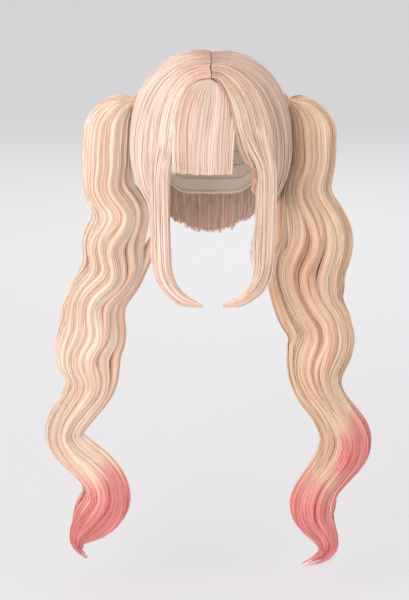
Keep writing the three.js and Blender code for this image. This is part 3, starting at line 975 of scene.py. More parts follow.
@dataclass
class HairSection:
    """Hair that lies on the cap from its roots, falls free below the brow and ends in a cut hem."""

    name: str
    node: str
    slot: str
    rows: Rows
    finish: HairFinish
    style: StrandStyle
    side: int = 1
    outer: Array = field(default_factory=lambda: HEAD.crown_outer)
    drop: float = HEAD.nape_drop
    hem_wall: float = 0.007
    root_aside: Callable[[Array], Array] = lambda share: 0 * share
    over_fringe: bool = False
    lined: bool = False
    ridges: float = 4.5
    ridge_height: float = 0.0013
    edge_sink: float = 0.0
    edge_slant: float = 0.0
    clumps: int = 62
    clump_points: int = 21
    clump_drift: float = 0.3
    hem_length: float = 0.015
    body_painted_shade: float = 0.12
    root_painted_shade: float = 0.8
    columns: int = 70
    levels: int = 34
    edge_wall: float = 0.0022
    least_wall: float = 0.0018
    strand_bed: float = 0.0005

    def __post_init__(self) -> None:
        """Reads the section's table."""
        self.table = Table(self.rows)

    def points(self, share: Array, along: Array, size: Array) -> Array:
        """Finds points of the section's strands.

        Args:
            share: the strands, from the section's front edge to its back edge.
            along: how far down each strand, from its root at 0 to its hem at 1.
            size: the dome's half sizes for each strand.

        Returns:
            The points, a row for each step down and a column for each strand.
        """
        row = self.table.read(share)
        comb, turn = np.radians(row["comb"]) * self.side, np.radians(row["turn"]) * self.side
        flat = np.zeros_like(turn)
        root = np.stack([self.root_aside(share), row["root"], np.sqrt(1 - row["root"] ** 2)], axis=-1)
        lead = root + np.stack([np.sin(comb), -np.cos(comb), flat], axis=-1) * row["sweep"][:, None]
        brow = np.stack([np.sin(turn), -np.cos(turn), flat], axis=-1)
        above = brow + np.array([0, 0, CONTROL_LIFT])
        t = np.clip(along / BROW_SHARE, 0, 1)[:, None, None]
        curve = (1 - t) ** 3 * root + 3 * (1 - t) ** 2 * t * lead
        curve = curve + 3 * (1 - t) * t**2 * above + t**3 * brow
        over = HEAD.dome(unit(curve), size)
        below = ((along - BROW_SHARE) / (1 - BROW_SHARE))[:, None]
        reach = 1 - row["tuck"][None, :] * below**2
        under = brow[None] * size * reach[..., None]
        under[..., 2] = -row["drop"][None, :] * self.drop * below
        found = np.where((along <= BROW_SHARE)[:, None, None], over, under)
        if self.edge_slant:
            near_edge = 1 - smoothstep(share, 0, 0.13)
            slant = np.radians(self.edge_slant * smoothstep(along, 0.55, 0.86)[:, None] * near_edge)
            slant *= self.side
            x, y = found[..., 0].copy(), found[..., 1].copy()
            found[..., 0] = x * np.cos(slant) - y * np.sin(slant)
            found[..., 1] = x * np.sin(slant) + y * np.cos(slant)
        return found

    def outside(self, share: Array, along: Array, raised: float = 0.0) -> Array:
        """Finds points of the section's outside, with its ridges and the dip along the parting.

        Args:
            share: the strands.
            along: how far down each strand.
            raised: a height over the outside.

        Returns:
            The points.
        """
        loft = self.table.read(share)["loft"][:, None]
        size = HEAD.hair_inner * (1 - loft) + self.outer * loft
        wave = np.cos(2 * np.pi * self.ridges * share)[None, :]
        dip = PARTING_DIP * (1 - smoothstep(along, 0, 0.15))[:, None]
        sink = self.edge_sink * (1 - smoothstep(share, 0, 0.11)) * smoothstep(along, 0.1, 0.34)[:, None]
        height = wave * self.ridge_height * np.minimum(1, 2 * along)[:, None] - sink - dip + raised
        return self.points(share, along, size) * (1 + height / self.outer[1])[..., None]

    def inside(self, share: Array, along: Array) -> Array:
        """Finds points of the section's underside, which meets the outside near its hem and edge.

        Args:
            share: the strands.
            along: how far down each strand.

        Returns:
            The points.
        """
        loft = self.table.read(share)["loft"][:, None]
        full = HEAD.hair_inner * (1 - loft) + self.outer * loft
        room = np.zeros_like(share)
        if self.over_fringe:
            room = (HEAD.fringe_wall + 2 * HEAD.seat_gap) * (1 - smoothstep(share, 0.45, 0.7))
        size = HEAD.hair_inner + room[:, None]
        edge = 1 - smoothstep(share, 0.0, 0.1) if self.over_fringe else np.zeros_like(share)
        size = np.maximum(size, (full - self.edge_wall) * edge[:, None])
        size = np.minimum(size, full - self.least_wall)
        below = (np.maximum(0, along - BROW_SHARE) / (1 - BROW_SHARE))[:, None, None]
        hem = self.points(share, along, full)
        turn = np.radians(self.table.read(share)["turn"]) * self.side
        brow = np.stack([np.sin(turn), -np.cos(turn), 0 * turn], axis=-1)
        wall = np.minimum(self.hem_wall, np.linalg.norm(full - size, axis=1))[:, None]
        hem = hem - brow[None] * wall
        inner = self.points(share, along, size)
        return inner * (1 - below**2) + hem * below**2

    def surface(self, material: Material) -> Piece:
        """Makes the section's body, whose surface carries fine streaks.

        Args:
            material: the hair's material.

        Returns:
            The piece.
        """
        share = np.linspace(0, 1, self.columns + 1)
        along = np.linspace(0, 1, self.levels + 1)
        outside = self.outside(share, along, -self.strand_bed)
        inside = self.inside(share, along)
        rings = np.concatenate([outside, inside[:, ::-1]], axis=1)
        # Painted shade: the outside of the body under the strands gets a low tint and its underside 0.25,
        # so the gaps between strands look dark.
        shade = np.concatenate([np.full(len(share), self.body_painted_shade), np.full(len(share), 0.25)])
        body = RingSurface(rings, {"strand": shade, "dye": np.zeros(1)}, strip_ends=True)
        return body.make(f"{self.name}_body", material)

    def lines(self) -> GuideLines:
        """Lays guide lines over the section's outside.

        Returns:
            The lines.
        """
        chance = np.random.default_rng(self.style.seed)
        edges = np.concatenate([[0], np.cumsum(chance.uniform(0.55, 1.5, self.clumps))])
        edges /= edges[-1]
        found = GuideLines()
        tone = 0.5
        for low, high in zip(edges[:-1], edges[1:]):
            one = (low + high) / 2
            reach = self.drop * self.table.read(np.array([one]))["drop"][0]
            extra = chance.uniform(-0.2, 1.0) * self.hem_length * (1 - BROW_SHARE) / max(reach, 0.01)
            along = np.linspace(0, 1 + 0.25 * extra, self.clump_points)
            trio = self.outside(np.array([low, one, high]), along)
            line = trio[:, 1]
            outward = HEAD.normal(line.copy(), self.outer)
            gap = np.linalg.norm(trio[:, 2] - trio[:, 0], axis=1)
            across = unit(np.cross(outward, tangents(line)))
            grown = smoothstep(along, 0.1, 0.45)
            sway = np.sin(2 * np.pi * (along * chance.uniform(0.6, 1.5) + chance.random()))
            line = line + across * (gap * self.clump_drift * sway * grown)[:, None]
            line = line + outward * (chance.uniform(-0.0003, 0.0005) * grown)[:, None]
            tone = 0.35 * tone + 0.65 * chance.random()
            found.add(
                line,
                across,
                outward,
                spread=gap * chance.uniform(0.4, 0.52),
                dye=0.0,
                # Painted shade: strands darken towards their roots, which darkens the top of the head
                # round the parting.
                clump=tone - self.root_painted_shade * (1 - smoothstep(along, 0.02, 0.36)),
                looseness=0.3 + 0.7 * smoothstep(along, 0.0, 0.35),
            )
        return found

    def inner_lines(self) -> GuideLines:
        """Lays guide lines down the underside, from inside the cap's edge to the hem.

        Returns:
            The lines.
        """
        chance = np.random.default_rng(self.style.seed + 50)
        edges = np.linspace(0, 1, self.clumps // 2 + 1)
        found = GuideLines()
        for low, high in zip(edges[:-1], edges[1:]):
            along = np.linspace(0.84, 1 + 0.02 * chance.random(), 9)
            trio = self.inside(np.array([low, (low + high) / 2, high]), along)
            line = trio[:, 1]
            outward = -HEAD.normal(line.copy(), self.outer)
            gap = np.linalg.norm(trio[:, 2] - trio[:, 0], axis=1)
            across = unit(np.cross(outward, tangents(line)))
            clump = 0.1 + 0.5 * chance.random()
            found.add(line, across, outward, spread=gap * 0.55, dye=0.0, clump=clump, looseness=1.0)
        return found

    def build(self, grower: StrandGrower) -> list[Piece]:
        """Builds the section.

        Args:
            grower: grows its strands.

        Returns:
            Its pieces.
        """
        material = self.finish.material()
        body = seat(self.surface(material), self.slot, self.node)
        strands = grower.grow(f"{self.name}_strands", self.lines(), self.style, material)
        pieces = [body, seat(strands, self.slot)]
        if self.lined:
            seed = self.style.seed + 50
            style = StrandStyle(count=9, radius=0.0005, lift=0.0014, wander=0.002, seed=seed)
            lining = grower.grow(f"{self.name}_inner_strands", self.inner_lines(), style, material)
            pieces.append(seat(lining, self.slot))
        return pieces


@dataclass
class Lock:
    """A lock of hair: an oval that runs along a line, thin in its deep direction."""

    line: Array
    deep: Array
    wide: Array
    thick: Array
    clump: float = 0.5
    dye: Array | float = 0.0

    def frames(self) -> tuple[Array, Array]:
        """Gives the lock's two cross directions at each point, along its width and its thickness."""
        way = tangents(self.line)
        deep = np.broadcast_to(self.deep, self.line.shape)
        through = unit(deep - way * np.sum(deep * way, axis=1, keepdims=True))
        return np.cross(through, way), through

    def ring_points(self, angle: Array) -> Array:
        """Finds points on the lock's skin.

        Args:
            angle: the turns round the lock, in radians.

        Returns:
            The points, a row for each step along and a column for each angle.
        """
        across, through = self.frames()
        wide = self.wide[:, None, None] * np.cos(angle)[None, :, None]
        thick = self.thick[:, None, None] * np.sin(angle)[None, :, None]
        return self.line[:, None] + across[:, None] * wide + through[:, None] * thick

    def body(self, sides: int, shade: float) -> RingSurface:
        """Makes the lock's body.

        Args:
            sides: how many sides its oval has.
            shade: the tint of its surface, a painted shade: low values darken the body where it shows
                between strands.

        Returns:
            The surface.
        """
        angle = np.arange(sides) / sides * 2 * np.pi
        dye = np.broadcast_to(self.dye, len(self.line))[:, None]
        # Painted shade: the body's tint is mostly the given shade, so the crevices between strands look
        # dark.
        tint = np.full((1, 1), 0.7 * shade + 0.3 * self.clump)
        return RingSurface(self.ring_points(angle), {"strand": tint, "dye": dye})

    def add_guides(
        self,
        guides: GuideLines,
        count: int,
        facing: Array | None,
        chance: Chance,
        arch: int = 0,
    ) -> None:
        """Lays guide lines round the lock.

        Args:
            guides: the lines to add to.
            count: how many go round the lock.
            facing: if given, only lines on that side are kept.
            chance: draws where each line ends.
            arch: how many steps from the start are kept where they face up.
        """
        across, through = self.frames()
        step = 2 * np.pi / count
        girth = step * (self.wide + self.thick) / 2
        for index in range(count):
            angle = (index + 0.5 * chance.random()) * step
            outward = across * np.cos(angle) + through * np.sin(angle)
            outer = 0.7 if facing is None else float(np.mean(outward @ facing))
            line = self.ring_points(np.array([angle]))[:, 0]
            stop = len(line) - int(chance.integers(0, 3))
            if outer < -0.1:
                if not arch or np.mean(outward[2:arch, 2]) < 0.1:
                    continue
                stop = arch + int(chance.integers(0, 3))
            guides.add(
                line[:stop],
                unit(np.cross(outward, tangents(line)))[:stop],
                outward[:stop],
                spread=(girth * chance.uniform(0.42, 0.56))[:stop],
                dye=np.broadcast_to(self.dye, len(line))[:stop],
                # Painted light and shade: lines facing outward get a higher tint and those turned inward a
                # lower one.
                clump=float(0.45 * self.clump + 0.5 * chance.random() + 0.35 * (outer - 0.45)),
                looseness=np.ones(stop),
            )


FACE_LOCK_ROWS: Rows = named_rows(
    "at curl forward wide thick",
    (0, 0.2, 0.9, 0.45, 0.5),
    (0.12, 0.04, 0.935, 0.85, 0.9),
    (0.25, 0, 0.945, 0.98, 1),
    (0.5, 0, 0.915, 1, 1),
    (0.71, 0.02, 0.89, 0.97, 0.95),
    (0.82, 0.06, 0.9, 0.9, 0.85),
    (0.9, 0.19, 0.925, 0.78, 0.75),
    (0.955, 0.42, 0.955, 0.62, 0.6),
    (0.985, 0.7, 0.985, 0.42, 0.45),
    (1, 1, 1, 0.12, 0.2),
)


@dataclass
class FaceLock:
    """A lock that leaves the crown beside the fringe and curls in under the chin."""

    side: Side
    inset: float
    root_depth: float
    emerges: float
    finish: HairFinish
    top: float = 0.058
    drop: float = 0.236
    curl: float = 0.052
    half_width: float = 0.014
    half_wall: float = 0.006
    behind: float = 0.024
    turn_degrees: float = 24.0
    tresses: int = 7
    steps: int = 33
    bridges: int = 12
    inner_root: float = 0.007
    bridge_high: float = 0.046
    bridge_low: float = -0.022
    bridge_levels: int = 28
    bridge_points: int = 34
    bridge_blend: int = 7
    wisps: int = 0

    def main_lock(self) -> Lock:
        """Gives the whole lock as one oval."""
        rows = FACE_LOCK_ROWS
        sign = self.side.value
        outer = HEAD.crown_outer
        points = np.array(
            [
                (
                    sign * (outer[0] - self.inset - row["curl"] * self.curl),
                    -row["forward"] * (outer[1] - self.behind),
                    self.top - row["at"] * self.drop,
                )
                for row in rows
            ]
        )
        line = smooth_line(points, self.steps)
        length = np.concatenate([[0], np.cumsum(np.linalg.norm(np.diff(points, axis=0), axis=1))])
        at = np.linspace(0, length[-1], self.steps)
        wide = np.interp(at, length, [row["wide"] for row in rows]) * self.half_width
        thick = np.interp(at, length, [row["thick"] for row in rows]) * self.half_wall
        turn = math.radians(self.turn_degrees)
        deep = np.array([-sign * math.sin(turn), math.cos(turn), 0.0])
        share = np.linspace(0, 1, self.steps)
        height = (line[:, 2] / outer[2]) ** 2
        level = np.linalg.norm(line / outer, axis=1) / (1 + 4 * HEAD.fullness * height * (1 - height))
        depth = (1 / level - 1) * np.linalg.norm(line, axis=1)
        wanted = thick + self.root_depth * (1 - share / self.emerges)
        shift = (depth - wanted) * (1 - smoothstep(share, 0.14, 0.3))
        line = line + HEAD.normal(line.copy(), outer) * shift[:, None]
        return Lock(line, deep, wide, thick)

    def bridge_lines(self, crown: HairSection) -> GuideLines:
        """Lays guide lines that leave the parting with the crown's front hair and run on down the lock.

        Args:
            crown: the crown hair on the lock's side.

        Returns:
            The lines.
        """
        whole = self.main_lock()
        across, through = whole.frames()
        chance = np.random.default_rng(70 + self.side.value)
        levels = np.linspace(0.004, BROW_SHARE, self.bridge_levels)
        between = np.linspace(self.bridge_high, self.bridge_low, self.bridge_blend)
        blend = smoothstep(np.linspace(0, 1, self.bridge_blend), 0, 1)[:, None]
        share = np.linspace(0, 1, self.bridge_points)
        found = GuideLines()
        for index in range(self.bridges):
            outer = -1 + 2 * (index + 0.5) / self.bridges
            place = -self.side.value * outer * 0.88
            over = crown.outside(np.array([0.012 + 0.105 * (outer + 1)]), levels, 0.0006)[:, 0]
            skin = whole.line + across * (place * whole.wide)[:, None]
            skin = skin - through * (whole.thick * 1.08 * math.sqrt(1 - place**2))[:, None]
            lines = [
                np.stack([np.interp(-between, -path[:, 2], path[:, axis]) for axis in range(3)], axis=1)
                for path in (over, skin)
            ]
            above = over[over[:, 2] > self.bridge_high + 0.004]
            below = skin[skin[:, 2] < self.bridge_low - 0.004]
            below = below[: int(len(below) * chance.uniform(0.45, 0.98))]
            line = np.vstack([above, lines[0] * (1 - blend) + lines[1] * blend, below])
            line = smooth_line(line, self.bridge_points)
            outward = HEAD.normal(line.copy(), crown.outer)
            sideways = unit(np.cross(outward, tangents(line)))
            grown = smoothstep(share, 0.0, 0.3)
            near_root = 1 - smoothstep(share, 0, 0.22)
            # Painted shade near the roots, as on the crown.
            tone = 0.25 + 0.6 * chance.random() - crown.root_painted_shade * near_root
            spread, loose = 0.0008 + 0.0009 * grown, 0.4 + 0.6 * grown
            found.add(line, sideways, outward, spread=spread, dye=0.0, clump=tone, looseness=loose)
        return found

    def wisp_lines(self) -> GuideLines:
        """Lays guide lines for the few thin hairs that stand off the lock's inner edge.

        Returns:
            The lines.
        """
        whole = self.main_lock()
        across, through = whole.frames()
        inward = across * self.side.value
        chance = np.random.default_rng(90 + self.side.value)
        found = GuideLines()
        for _ in range(self.wisps):
            first = int(chance.integers(14, 18))
            last = first + int(chance.integers(7, 11))
            bend = np.sin(np.pi * np.linspace(0, 1, last - first) ** 1.5) * chance.uniform(0.005, 0.009)
            aside = inward[first:last] * (0.8 * whole.wide[first:last] + bend)[:, None]
            line = smooth_line(whole.line[first:last] + aside, 16)
            way = unit(np.cross(DEPTH_WAY, tangents(line)))
            out = np.broadcast_to(-DEPTH_WAY, line.shape)
            found.add(line, way, out, spread=0.0008, dye=0.0, clump=0.7, looseness=1.0)
        return found

    def build(self, grower: StrandGrower, crown: HairSection) -> list[Piece]:
        """Builds the lock from tresses that lie side by side.

        Args:
            grower: grows its strands.
            crown: the crown hair on the lock's side.

        Returns:
            Its pieces.
        """
        name = f"face_lock_{self.side.word}"
        material = self.finish.material()
        whole = self.main_lock()
        across, through = whole.frames()
        chance = np.random.default_rng(40 + self.side.value)
        guides, parts = GuideLines(), []
        share = np.linspace(0, 1, self.steps)
        for index in range(self.tresses):
            place = -1 + 2 * (index + 0.5) / self.tresses
            sway = 0.06 * np.sin(2 * np.pi * (share * 1.6 + chance.random()))
            bulge = np.sqrt(np.maximum(0, 1 - place**2))
            spot = (place * 0.82 + sway * smoothstep(share, 0.2, 0.6))[:, None]
            line = whole.line + across * spot * whole.wide[:, None]
            line = line + through * (chance.uniform(-0.12, 0.12) * whole.thick)[:, None]
            buried = max(0.0, self.side.value * place) * self.inner_root
            line = line + through * (buried * (1 - smoothstep(share, 0.05, 0.3)))[:, None]
            wide = whole.wide * (1.25 / self.tresses)
            tress = Lock(line, whole.deep, wide, whole.thick * (0.35 + 0.6 * bulge), chance.random())
            # Painted shade: the tress bodies get a low tint, darker where they show between strands.
            parts.append(tress.body(10, 0.25).make(f"{name}_tress_{index}", material))
            tress.add_guides(guides, 7, None, chance)
        body = seat(join(f"{name}_body", parts), "face_lock_hair", name)
        seed = self.side.value
        style = StrandStyle(count=4, radius=0.00038, lift=0.0009, wander=0.0016, waves=3, seed=7 + seed)
        strands = grower.grow(f"{name}_strands", guides, style, material)
        style = StrandStyle(count=9, radius=0.0004, lift=0.0011, wander=0.0014, waves=3, seed=27 + seed)
        bridge = grower.grow(f"{name}_front_strands", self.bridge_lines(crown), style, material)
        pieces = [body, seat(strands, "face_lock_hair"), seat(bridge, "face_lock_hair")]
        if self.wisps:
            style = StrandStyle(count=2, radius=0.0003, lift=0.001, wander=0.004, waves=4, seed=37)
            wisps = grower.grow(f"{name}_wisps", self.wisp_lines(), style, material)
            pieces.append(seat(wisps, "face_lock_hair"))
        return pieces


TAIL_ROWS: dict[Side, Rows] = {
    Side.LEFT: named_rows(
        "at out wide",
        (0.067, 0.33, 0.8),
        (0.135, 0.35, 0.81),
        (0.19, 0.29, 0.82),
        (0.24, 0.21, 0.86),
        (0.306, 0.25, 0.97),
        (0.359, 0.32, 0.89),
        (0.415, 0.47, 0.86),
        (0.48, 0.6, 0.97),
        (0.53, 0.65, 0.95),
        (0.6, 0.625, 0.74),
        (0.657, 0.76, 0.58),
        (0.692, 0.88, 0.53),
        (0.727, 0.93, 0.52),
        (0.763, 0.8, 0.58),
        (0.8, 0.56, 0.64),
        (0.835, 0.42, 0.67),
        (0.872, 0.42, 0.72),
        (0.907, 0.56, 0.72),
        (0.944, 0.73, 0.38),
        (0.97, 0.77, 0.16),
        (1, 0.64, 0.07),
    ),
    Side.RIGHT: named_rows(
        "at out wide",
        (0.066, 0.317, 0.65),
        (0.132, 0.32, 0.62),
        (0.187, 0.27, 0.68),
        (0.24, 0.29, 0.88),
        (0.301, 0.33, 1),
        (0.369, 0.3, 0.95),
        (0.437, 0.32, 0.83),
        (0.472, 0.43, 0.83),
        (0.507, 0.48, 0.88),
        (0.576, 0.41, 0.71),
        (0.611, 0.44, 0.6),
        (0.646, 0.56, 0.54),
        (0.68, 0.69, 0.59),
        (0.715, 0.78, 0.66),
        (0.75, 0.757, 0.68),
        (0.786, 0.63, 0.59),
        (0.821, 0.47, 0.56),
        (0.858, 0.386, 0.6),
        (0.892, 0.4, 0.51),
        (0.929, 0.53, 0.35),
        (0.964, 0.56, 0.22),
        (0.985, 0.44, 0.13),
        (1, 0.22, 0.06),
    ),
}


# The tone column is painted light and shade: strays on the outside are light, the broad inner ones against
# the head dark.
STRAY_ROWS: dict[Side, Rows] = {
    Side.LEFT: named_rows(
        "across behind girth end bow from to tone",
        (0.98, -0.25, 0.07, 0.93, 4, 0.62, 0.82, 0.9),
        (0.9, -0.4, 0.06, 0.95, 8, 0.78, 0.94, 0.9),
        (-0.95, -0.2, 0.13, 0.93, -7, 0.82, 0.95, 0.5),
        (1, 0.1, 0.06, 0.9, 4, 0.16, 0.36, 0.9),
        (-1, 0.35, 0.22, 0.9, -24, 0.03, 0.38, 0.1),
    ),
    Side.RIGHT: named_rows(
        "across behind girth end bow from to tone",
        (1, -0.2, 0.09, 0.9, 6, 0.2, 0.5, 0.9),
        (0.95, 0.3, 0.07, 0.92, 9, 0.24, 0.52, 0.9),
        (0.97, 0, 0.07, 0.97, 6, 0.78, 0.96, 0.6),
        (-0.98, -0.1, 0.06, 0.9, -4, 0.42, 0.62, 0.8),
        (-1, 0.3, 0.18, 0.9, -4, 0.1, 0.4, 0.0),
    ),
}


ARCH_ROWS: Rows = named_rows(
    "degrees rise wide",
    (20, 0.94, 0.55),
    (33, 1.01, 0.68),
    (47, 1, 0.8),
    (61, 1, 0.9),
    (75, 1, 0.98),
)


@dataclass(frozen=True)
class TieSeat:
    """Where a tie sits on the side of the crown, and the neck of hair that runs through it."""

    side: Side
    height: float = 0.053
    behind: float = 0.018
    cord: float = 0.0036
    gap: float = 0.00035
    ridge: float = 0.0013
    neck_radius: float = 0.008
    neck_length: float = 0.013

    @property
    def surface(self) -> Array:
        """The tie's place on the crown."""
        outer = HEAD.crown_outer
        back, up = self.behind / outer[1], self.height / outer[2]
        aside = self.side.value * math.sqrt(1 - back**2 - up**2)
        return HEAD.dome(np.array([aside, back, up]), outer)

    @property
    def outward(self) -> Array:
        """The way out of the crown there."""
        return unit(self.surface / HEAD.crown_outer**2)

    @property
    def centre(self) -> Array:
        """The middle of the tie's ring."""
        return self.surface + self.outward * (self.cord / 2 + self.ridge + self.gap)


@dataclass
class Pigtail:
    """A long wavy pigtail: locks that arch out of the tied neck and fall through one body."""

    side: Side
    finish: HairFinish
    length: float
    half_width: float
    dye_inner: float
    dye_outer: float
    dye_from: float
    dye_to: float
    ripple: float
    ripple_length: float
    ripple_start: float
    fall: float = 0.04
    swing: float = 0.1
    depth_share: float = 0.8
    wave_depth: float = 0.008
    outer_locks: int = 20
    inner_locks: int = 8
    steps: int = 84
    crowding: float = 1.12
    cells: int = 7
    arch_steps: int = 14
    loose_hairs: int = 14
    samples: int = 60
    twist_degrees: float = 40.0
    dye_fade: float = 0.08
    dye_uneven: float = 0.014

    def __post_init__(self) -> None:
        """Reads the body's table."""
        self.table = Table(TAIL_ROWS[self.side])
        self.tie = TieSeat(self.side)
        self.first = TAIL_ROWS[self.side][0]["at"]

    def centre(self, at: Array) -> Array:
        """Gives the body's middle line.

        Args:
            at: shares of the way down.

        Returns:
            The points.
        """
        row = self.table.read(at)
        middle = self.tie.centre
        return np.stack(
            [
                middle[0] + self.side.value * row["out"] * self.swing,
                middle[1] + self.wave_depth * np.sin(at * 6 * np.pi) * at,
                middle[2] - at * self.length,
            ],
            axis=-1,
        )

    def lock(
        self, across: float, behind: float, girth: float, end: float, chance: Chance,
        bow: tuple[float, float, float] = (0.0, 0.0, 1.0),
    ) -> Lock:
        """Makes one lock.

        Args:
            across: its place across the body, from -1 inside to 1 outside.
            behind: its place behind the body's middle, from -1 in front to 1 at the back.
            girth: its half width, as a share of the body's.
            end: the share of the body at which it ends.
            chance: draws its drift.
            bow: how far it stands off sideways, and the shares between which it does.

        Returns:
            The lock.
        """
        sign = self.side.value
        at = np.linspace(self.first, end, self.samples)
        middle = self.centre(at)
        way = tangents(middle)
        side_way = unit(np.cross(way, DEPTH_WAY))
        side_way = side_way * np.sign(side_way[:, :1] * sign)
        wide = self.table.read(at)["wide"] * self.half_width
        phase = chance.uniform(0, 2 * np.pi, 3)
        ripple = smoothstep(at, 0.12, 0.35) * (1 - 0.8 * smoothstep(at, 0.82, 0.96))
        drift = 0.07 * np.sin(2 * np.pi * 1.7 * at + phase[0])
        drift = drift + 0.03 * np.sin(2 * np.pi * 4.1 * at + phase[1])
        depth_drift = 0.08 * np.sin(2 * np.pi * 1.3 * at + phase[2])
        twist = math.radians(self.twist_degrees) * (at - self.first)
        a = across * np.cos(twist) - behind * np.sin(twist) + drift * ripple
        d = behind * np.cos(twist) + across * np.sin(twist) + depth_drift * ripple
        turns = (at * self.length - self.ripple_start) / self.ripple_length + 0.035 * math.sin(phase[0])
        wave = np.sin(2 * np.pi * turns) * self.ripple * (1 - 0.6 * a**2)
        wave = wave * smoothstep(at, 0.08, 0.2) * (1 - smoothstep(at, 0.5, 0.72))
        wave = wave + bow[0] * np.sin(np.pi * np.clip((at - bow[1]) / (bow[2] - bow[1]), 0, 1)) ** 2
        down = middle + side_way * (a * wide + wave)[:, None]
        down = down + DEPTH_WAY * (d * wide * self.depth_share)[:, None]
        tie = self.tie
        reach = down[0, 0] - tie.centre[0]
        rise = self.fall * float(np.interp(across, [-0.8, -0.25, 0.3, 0.8], [0.96, 1.17, 1.23, 1.14]))
        rise *= 1 - 0.16 * max(0.0, -behind)
        rise -= 1.4 * max(0.0, girth - 0.2) * wide[0]
        arch = []
        for row in ARCH_ROWS:
            turn = math.radians(row["degrees"])
            behind_tie = (down[0, 1] - tie.centre[1]) * math.sin(turn) ** 0.6
            height = down[0, 2] + rise * row["rise"] * math.cos(turn)
            arch.append((tie.centre[0] + reach * math.sin(turn), tie.centre[1] + behind_tie, height))
        up_way = unit(np.cross(tie.outward, DEPTH_WAY) * -sign)
        spot = up_way * across + DEPTH_WAY * behind
        inner = tie.centre + spot * tie.neck_radius * 0.72
        start = inner - tie.outward * tie.neck_length * 0.5
        first_row = 0 if across > 0.2 else 1
        points = np.vstack([start, inner, np.array(arch)[first_row:], down])
        line = smooth_line(points, self.steps, self.crowding)
        length = np.concatenate([[0], np.cumsum(np.linalg.norm(np.diff(points, axis=0), axis=1))])
        neck = tie.neck_radius * 0.3 / girth
        spread_out = wide[0] * np.array([row["wide"] for row in ARCH_ROWS])[first_row:]
        wides = np.concatenate([[neck, neck], spread_out, wide])
        share = np.linspace(0, 1, self.steps) ** self.crowding
        spaced = np.interp(share * length[-1], length, wides)
        taper = np.minimum(1, (1.003 - share) / 0.06) ** 0.7
        size = spaced * girth * taper * (1 + 1.1 * smoothstep(share * end, 0.9, 0.98))
        reach_out = smoothstep(np.abs(line[:, 0]), self.dye_from, self.dye_to)
        boundary = self.dye_inner + (self.dye_outer - self.dye_inner) * reach_out
        boundary = boundary + chance.uniform(-self.dye_uneven, self.dye_uneven)
        dye = np.clip((boundary - line[:, 2]) / self.dye_fade + 0.5, 0, 1)
        return Lock(line, DEPTH_WAY, size, size * 0.85, 0.25 + 0.5 * chance.random(), dye)

    def locks(self) -> list[tuple[Lock, Array | None]]:
        """Makes the outer and inner locks.

        Returns:
            Each lock with the way that it faces, or None for one inside.
        """
        chance = np.random.default_rng(200 + self.side.value)
        found: list[tuple[Lock, Array | None]] = []
        for index in range(self.outer_locks):
            turn = 2 * np.pi * (index + 0.3 * chance.random()) / self.outer_locks
            across, behind = math.cos(turn), math.sin(turn)
            girth = chance.uniform(0.15, 0.23)
            reach = 1.0 - girth * 0.85
            end = 1 - 0.05 * chance.random() ** 1.5
            lock = self.lock(across * reach, behind * reach, girth, end, chance)
            found.append((lock, np.array([self.side.value * across, behind, 0.0])))
        for index in range(self.inner_locks):
            turn = 2 * np.pi * index / self.inner_locks
            reach = 0.38
            end = 0.995 - 0.06 * chance.random()
            lock = self.lock(math.cos(turn) * reach, math.sin(turn) * reach, 0.36, end, chance)
            found.append((lock, None))
        for row in STRAY_ROWS[self.side]:
            bow = (row["bow"] / 1000, row["from"], row["to"])
            lock = self.lock(row["across"], row["behind"], row["girth"], row["end"], chance, bow)
            # The stray's tone carries painted light and shade.
            lock.clump = row["tone"]
            found.append((lock, np.array([self.side.value * row["across"], row["behind"], 0.0])))
        return found

    def build(self, grower: StrandGrower) -> list[Piece]:
        """Builds the pigtail.

        Args:
            grower: grows its strands.

        Returns:
            Its pieces.
        """
        name = f"pigtail_{self.side.word}"
        material = self.finish.material()
        chance = np.random.default_rng(300 + self.side.value)
        guides, parts = GuideLines(), []
        for index, (lock, facing) in enumerate(self.locks()):
            # Painted shade: the lock bodies get a low tint, so the crevices between locks look dark and
            # warm.
            parts.append(lock.body(8, 0.2).make(f"{name}_lock_{index}", material))
            if facing is not None:
                lock.add_guides(guides, self.cells, facing, chance, self.arch_steps)
        body = seat(join(f"{name}_locks", parts), "tail_hair", name)
        loose = grower.grow(f"{name}_loose_hairs", self.loose_lines(chance), self.loose_style(), material)
        seed = 17 + self.side.value
        style = StrandStyle(count=4, radius=0.00047, lift=0.0015, wander=0.0022, waves=7, seed=seed)
        strands = grower.grow(f"{name}_strands", guides, style, material)
        return [body, seat(strands, "tail_hair"), seat(loose, "tail_hair")]

    def loose_style(self) -> StrandStyle:
        """Gives the style of the thin hairs that stray from the pigtail."""
        seed = 60 + self.side.value
        return StrandStyle(count=2, radius=0.00022, lift=0.002, wander=0.012, waves=9, seed=seed)

    def loose_lines(self, chance: Chance) -> GuideLines:
        """Lays guide lines for hairs that stray a little from the pigtail's outline.

        Args:
            chance: draws where they run.

        Returns:
            The lines.
        """
        found = GuideLines()
        for _ in range(self.loose_hairs):
            turn = chance.choice([0.0, np.pi]) + chance.uniform(-0.9, 0.9)
            end = 1 - 0.3 * chance.random()
            lock = self.lock(math.cos(turn) * 0.95, math.sin(turn) * 0.95, 0.05, end, chance)
            first = int(chance.integers(6, 22))
            across, through = (way[first:] for way in lock.frames())
            line = lock.line[first:]
            dye = np.broadcast_to(lock.dye, len(lock.line))[first:]
            grown = np.clip(np.linspace(0, 4, len(line)), 0, 1)
            found.add(line, across, through, spread=0.003 * grown, dye=dye, clump=0.8, looseness=grown)
        return found


CAP_EDGE: Rows = named_rows(
    "at drop",
    (0, -0.5),
    (0.22, -0.36),
    (0.36, 0.0),
    (0.44, 0.42),
    (0.53, 0.16),
    (0.64, 0.42),
    (0.8, 0.9),
    (1, 1),
)


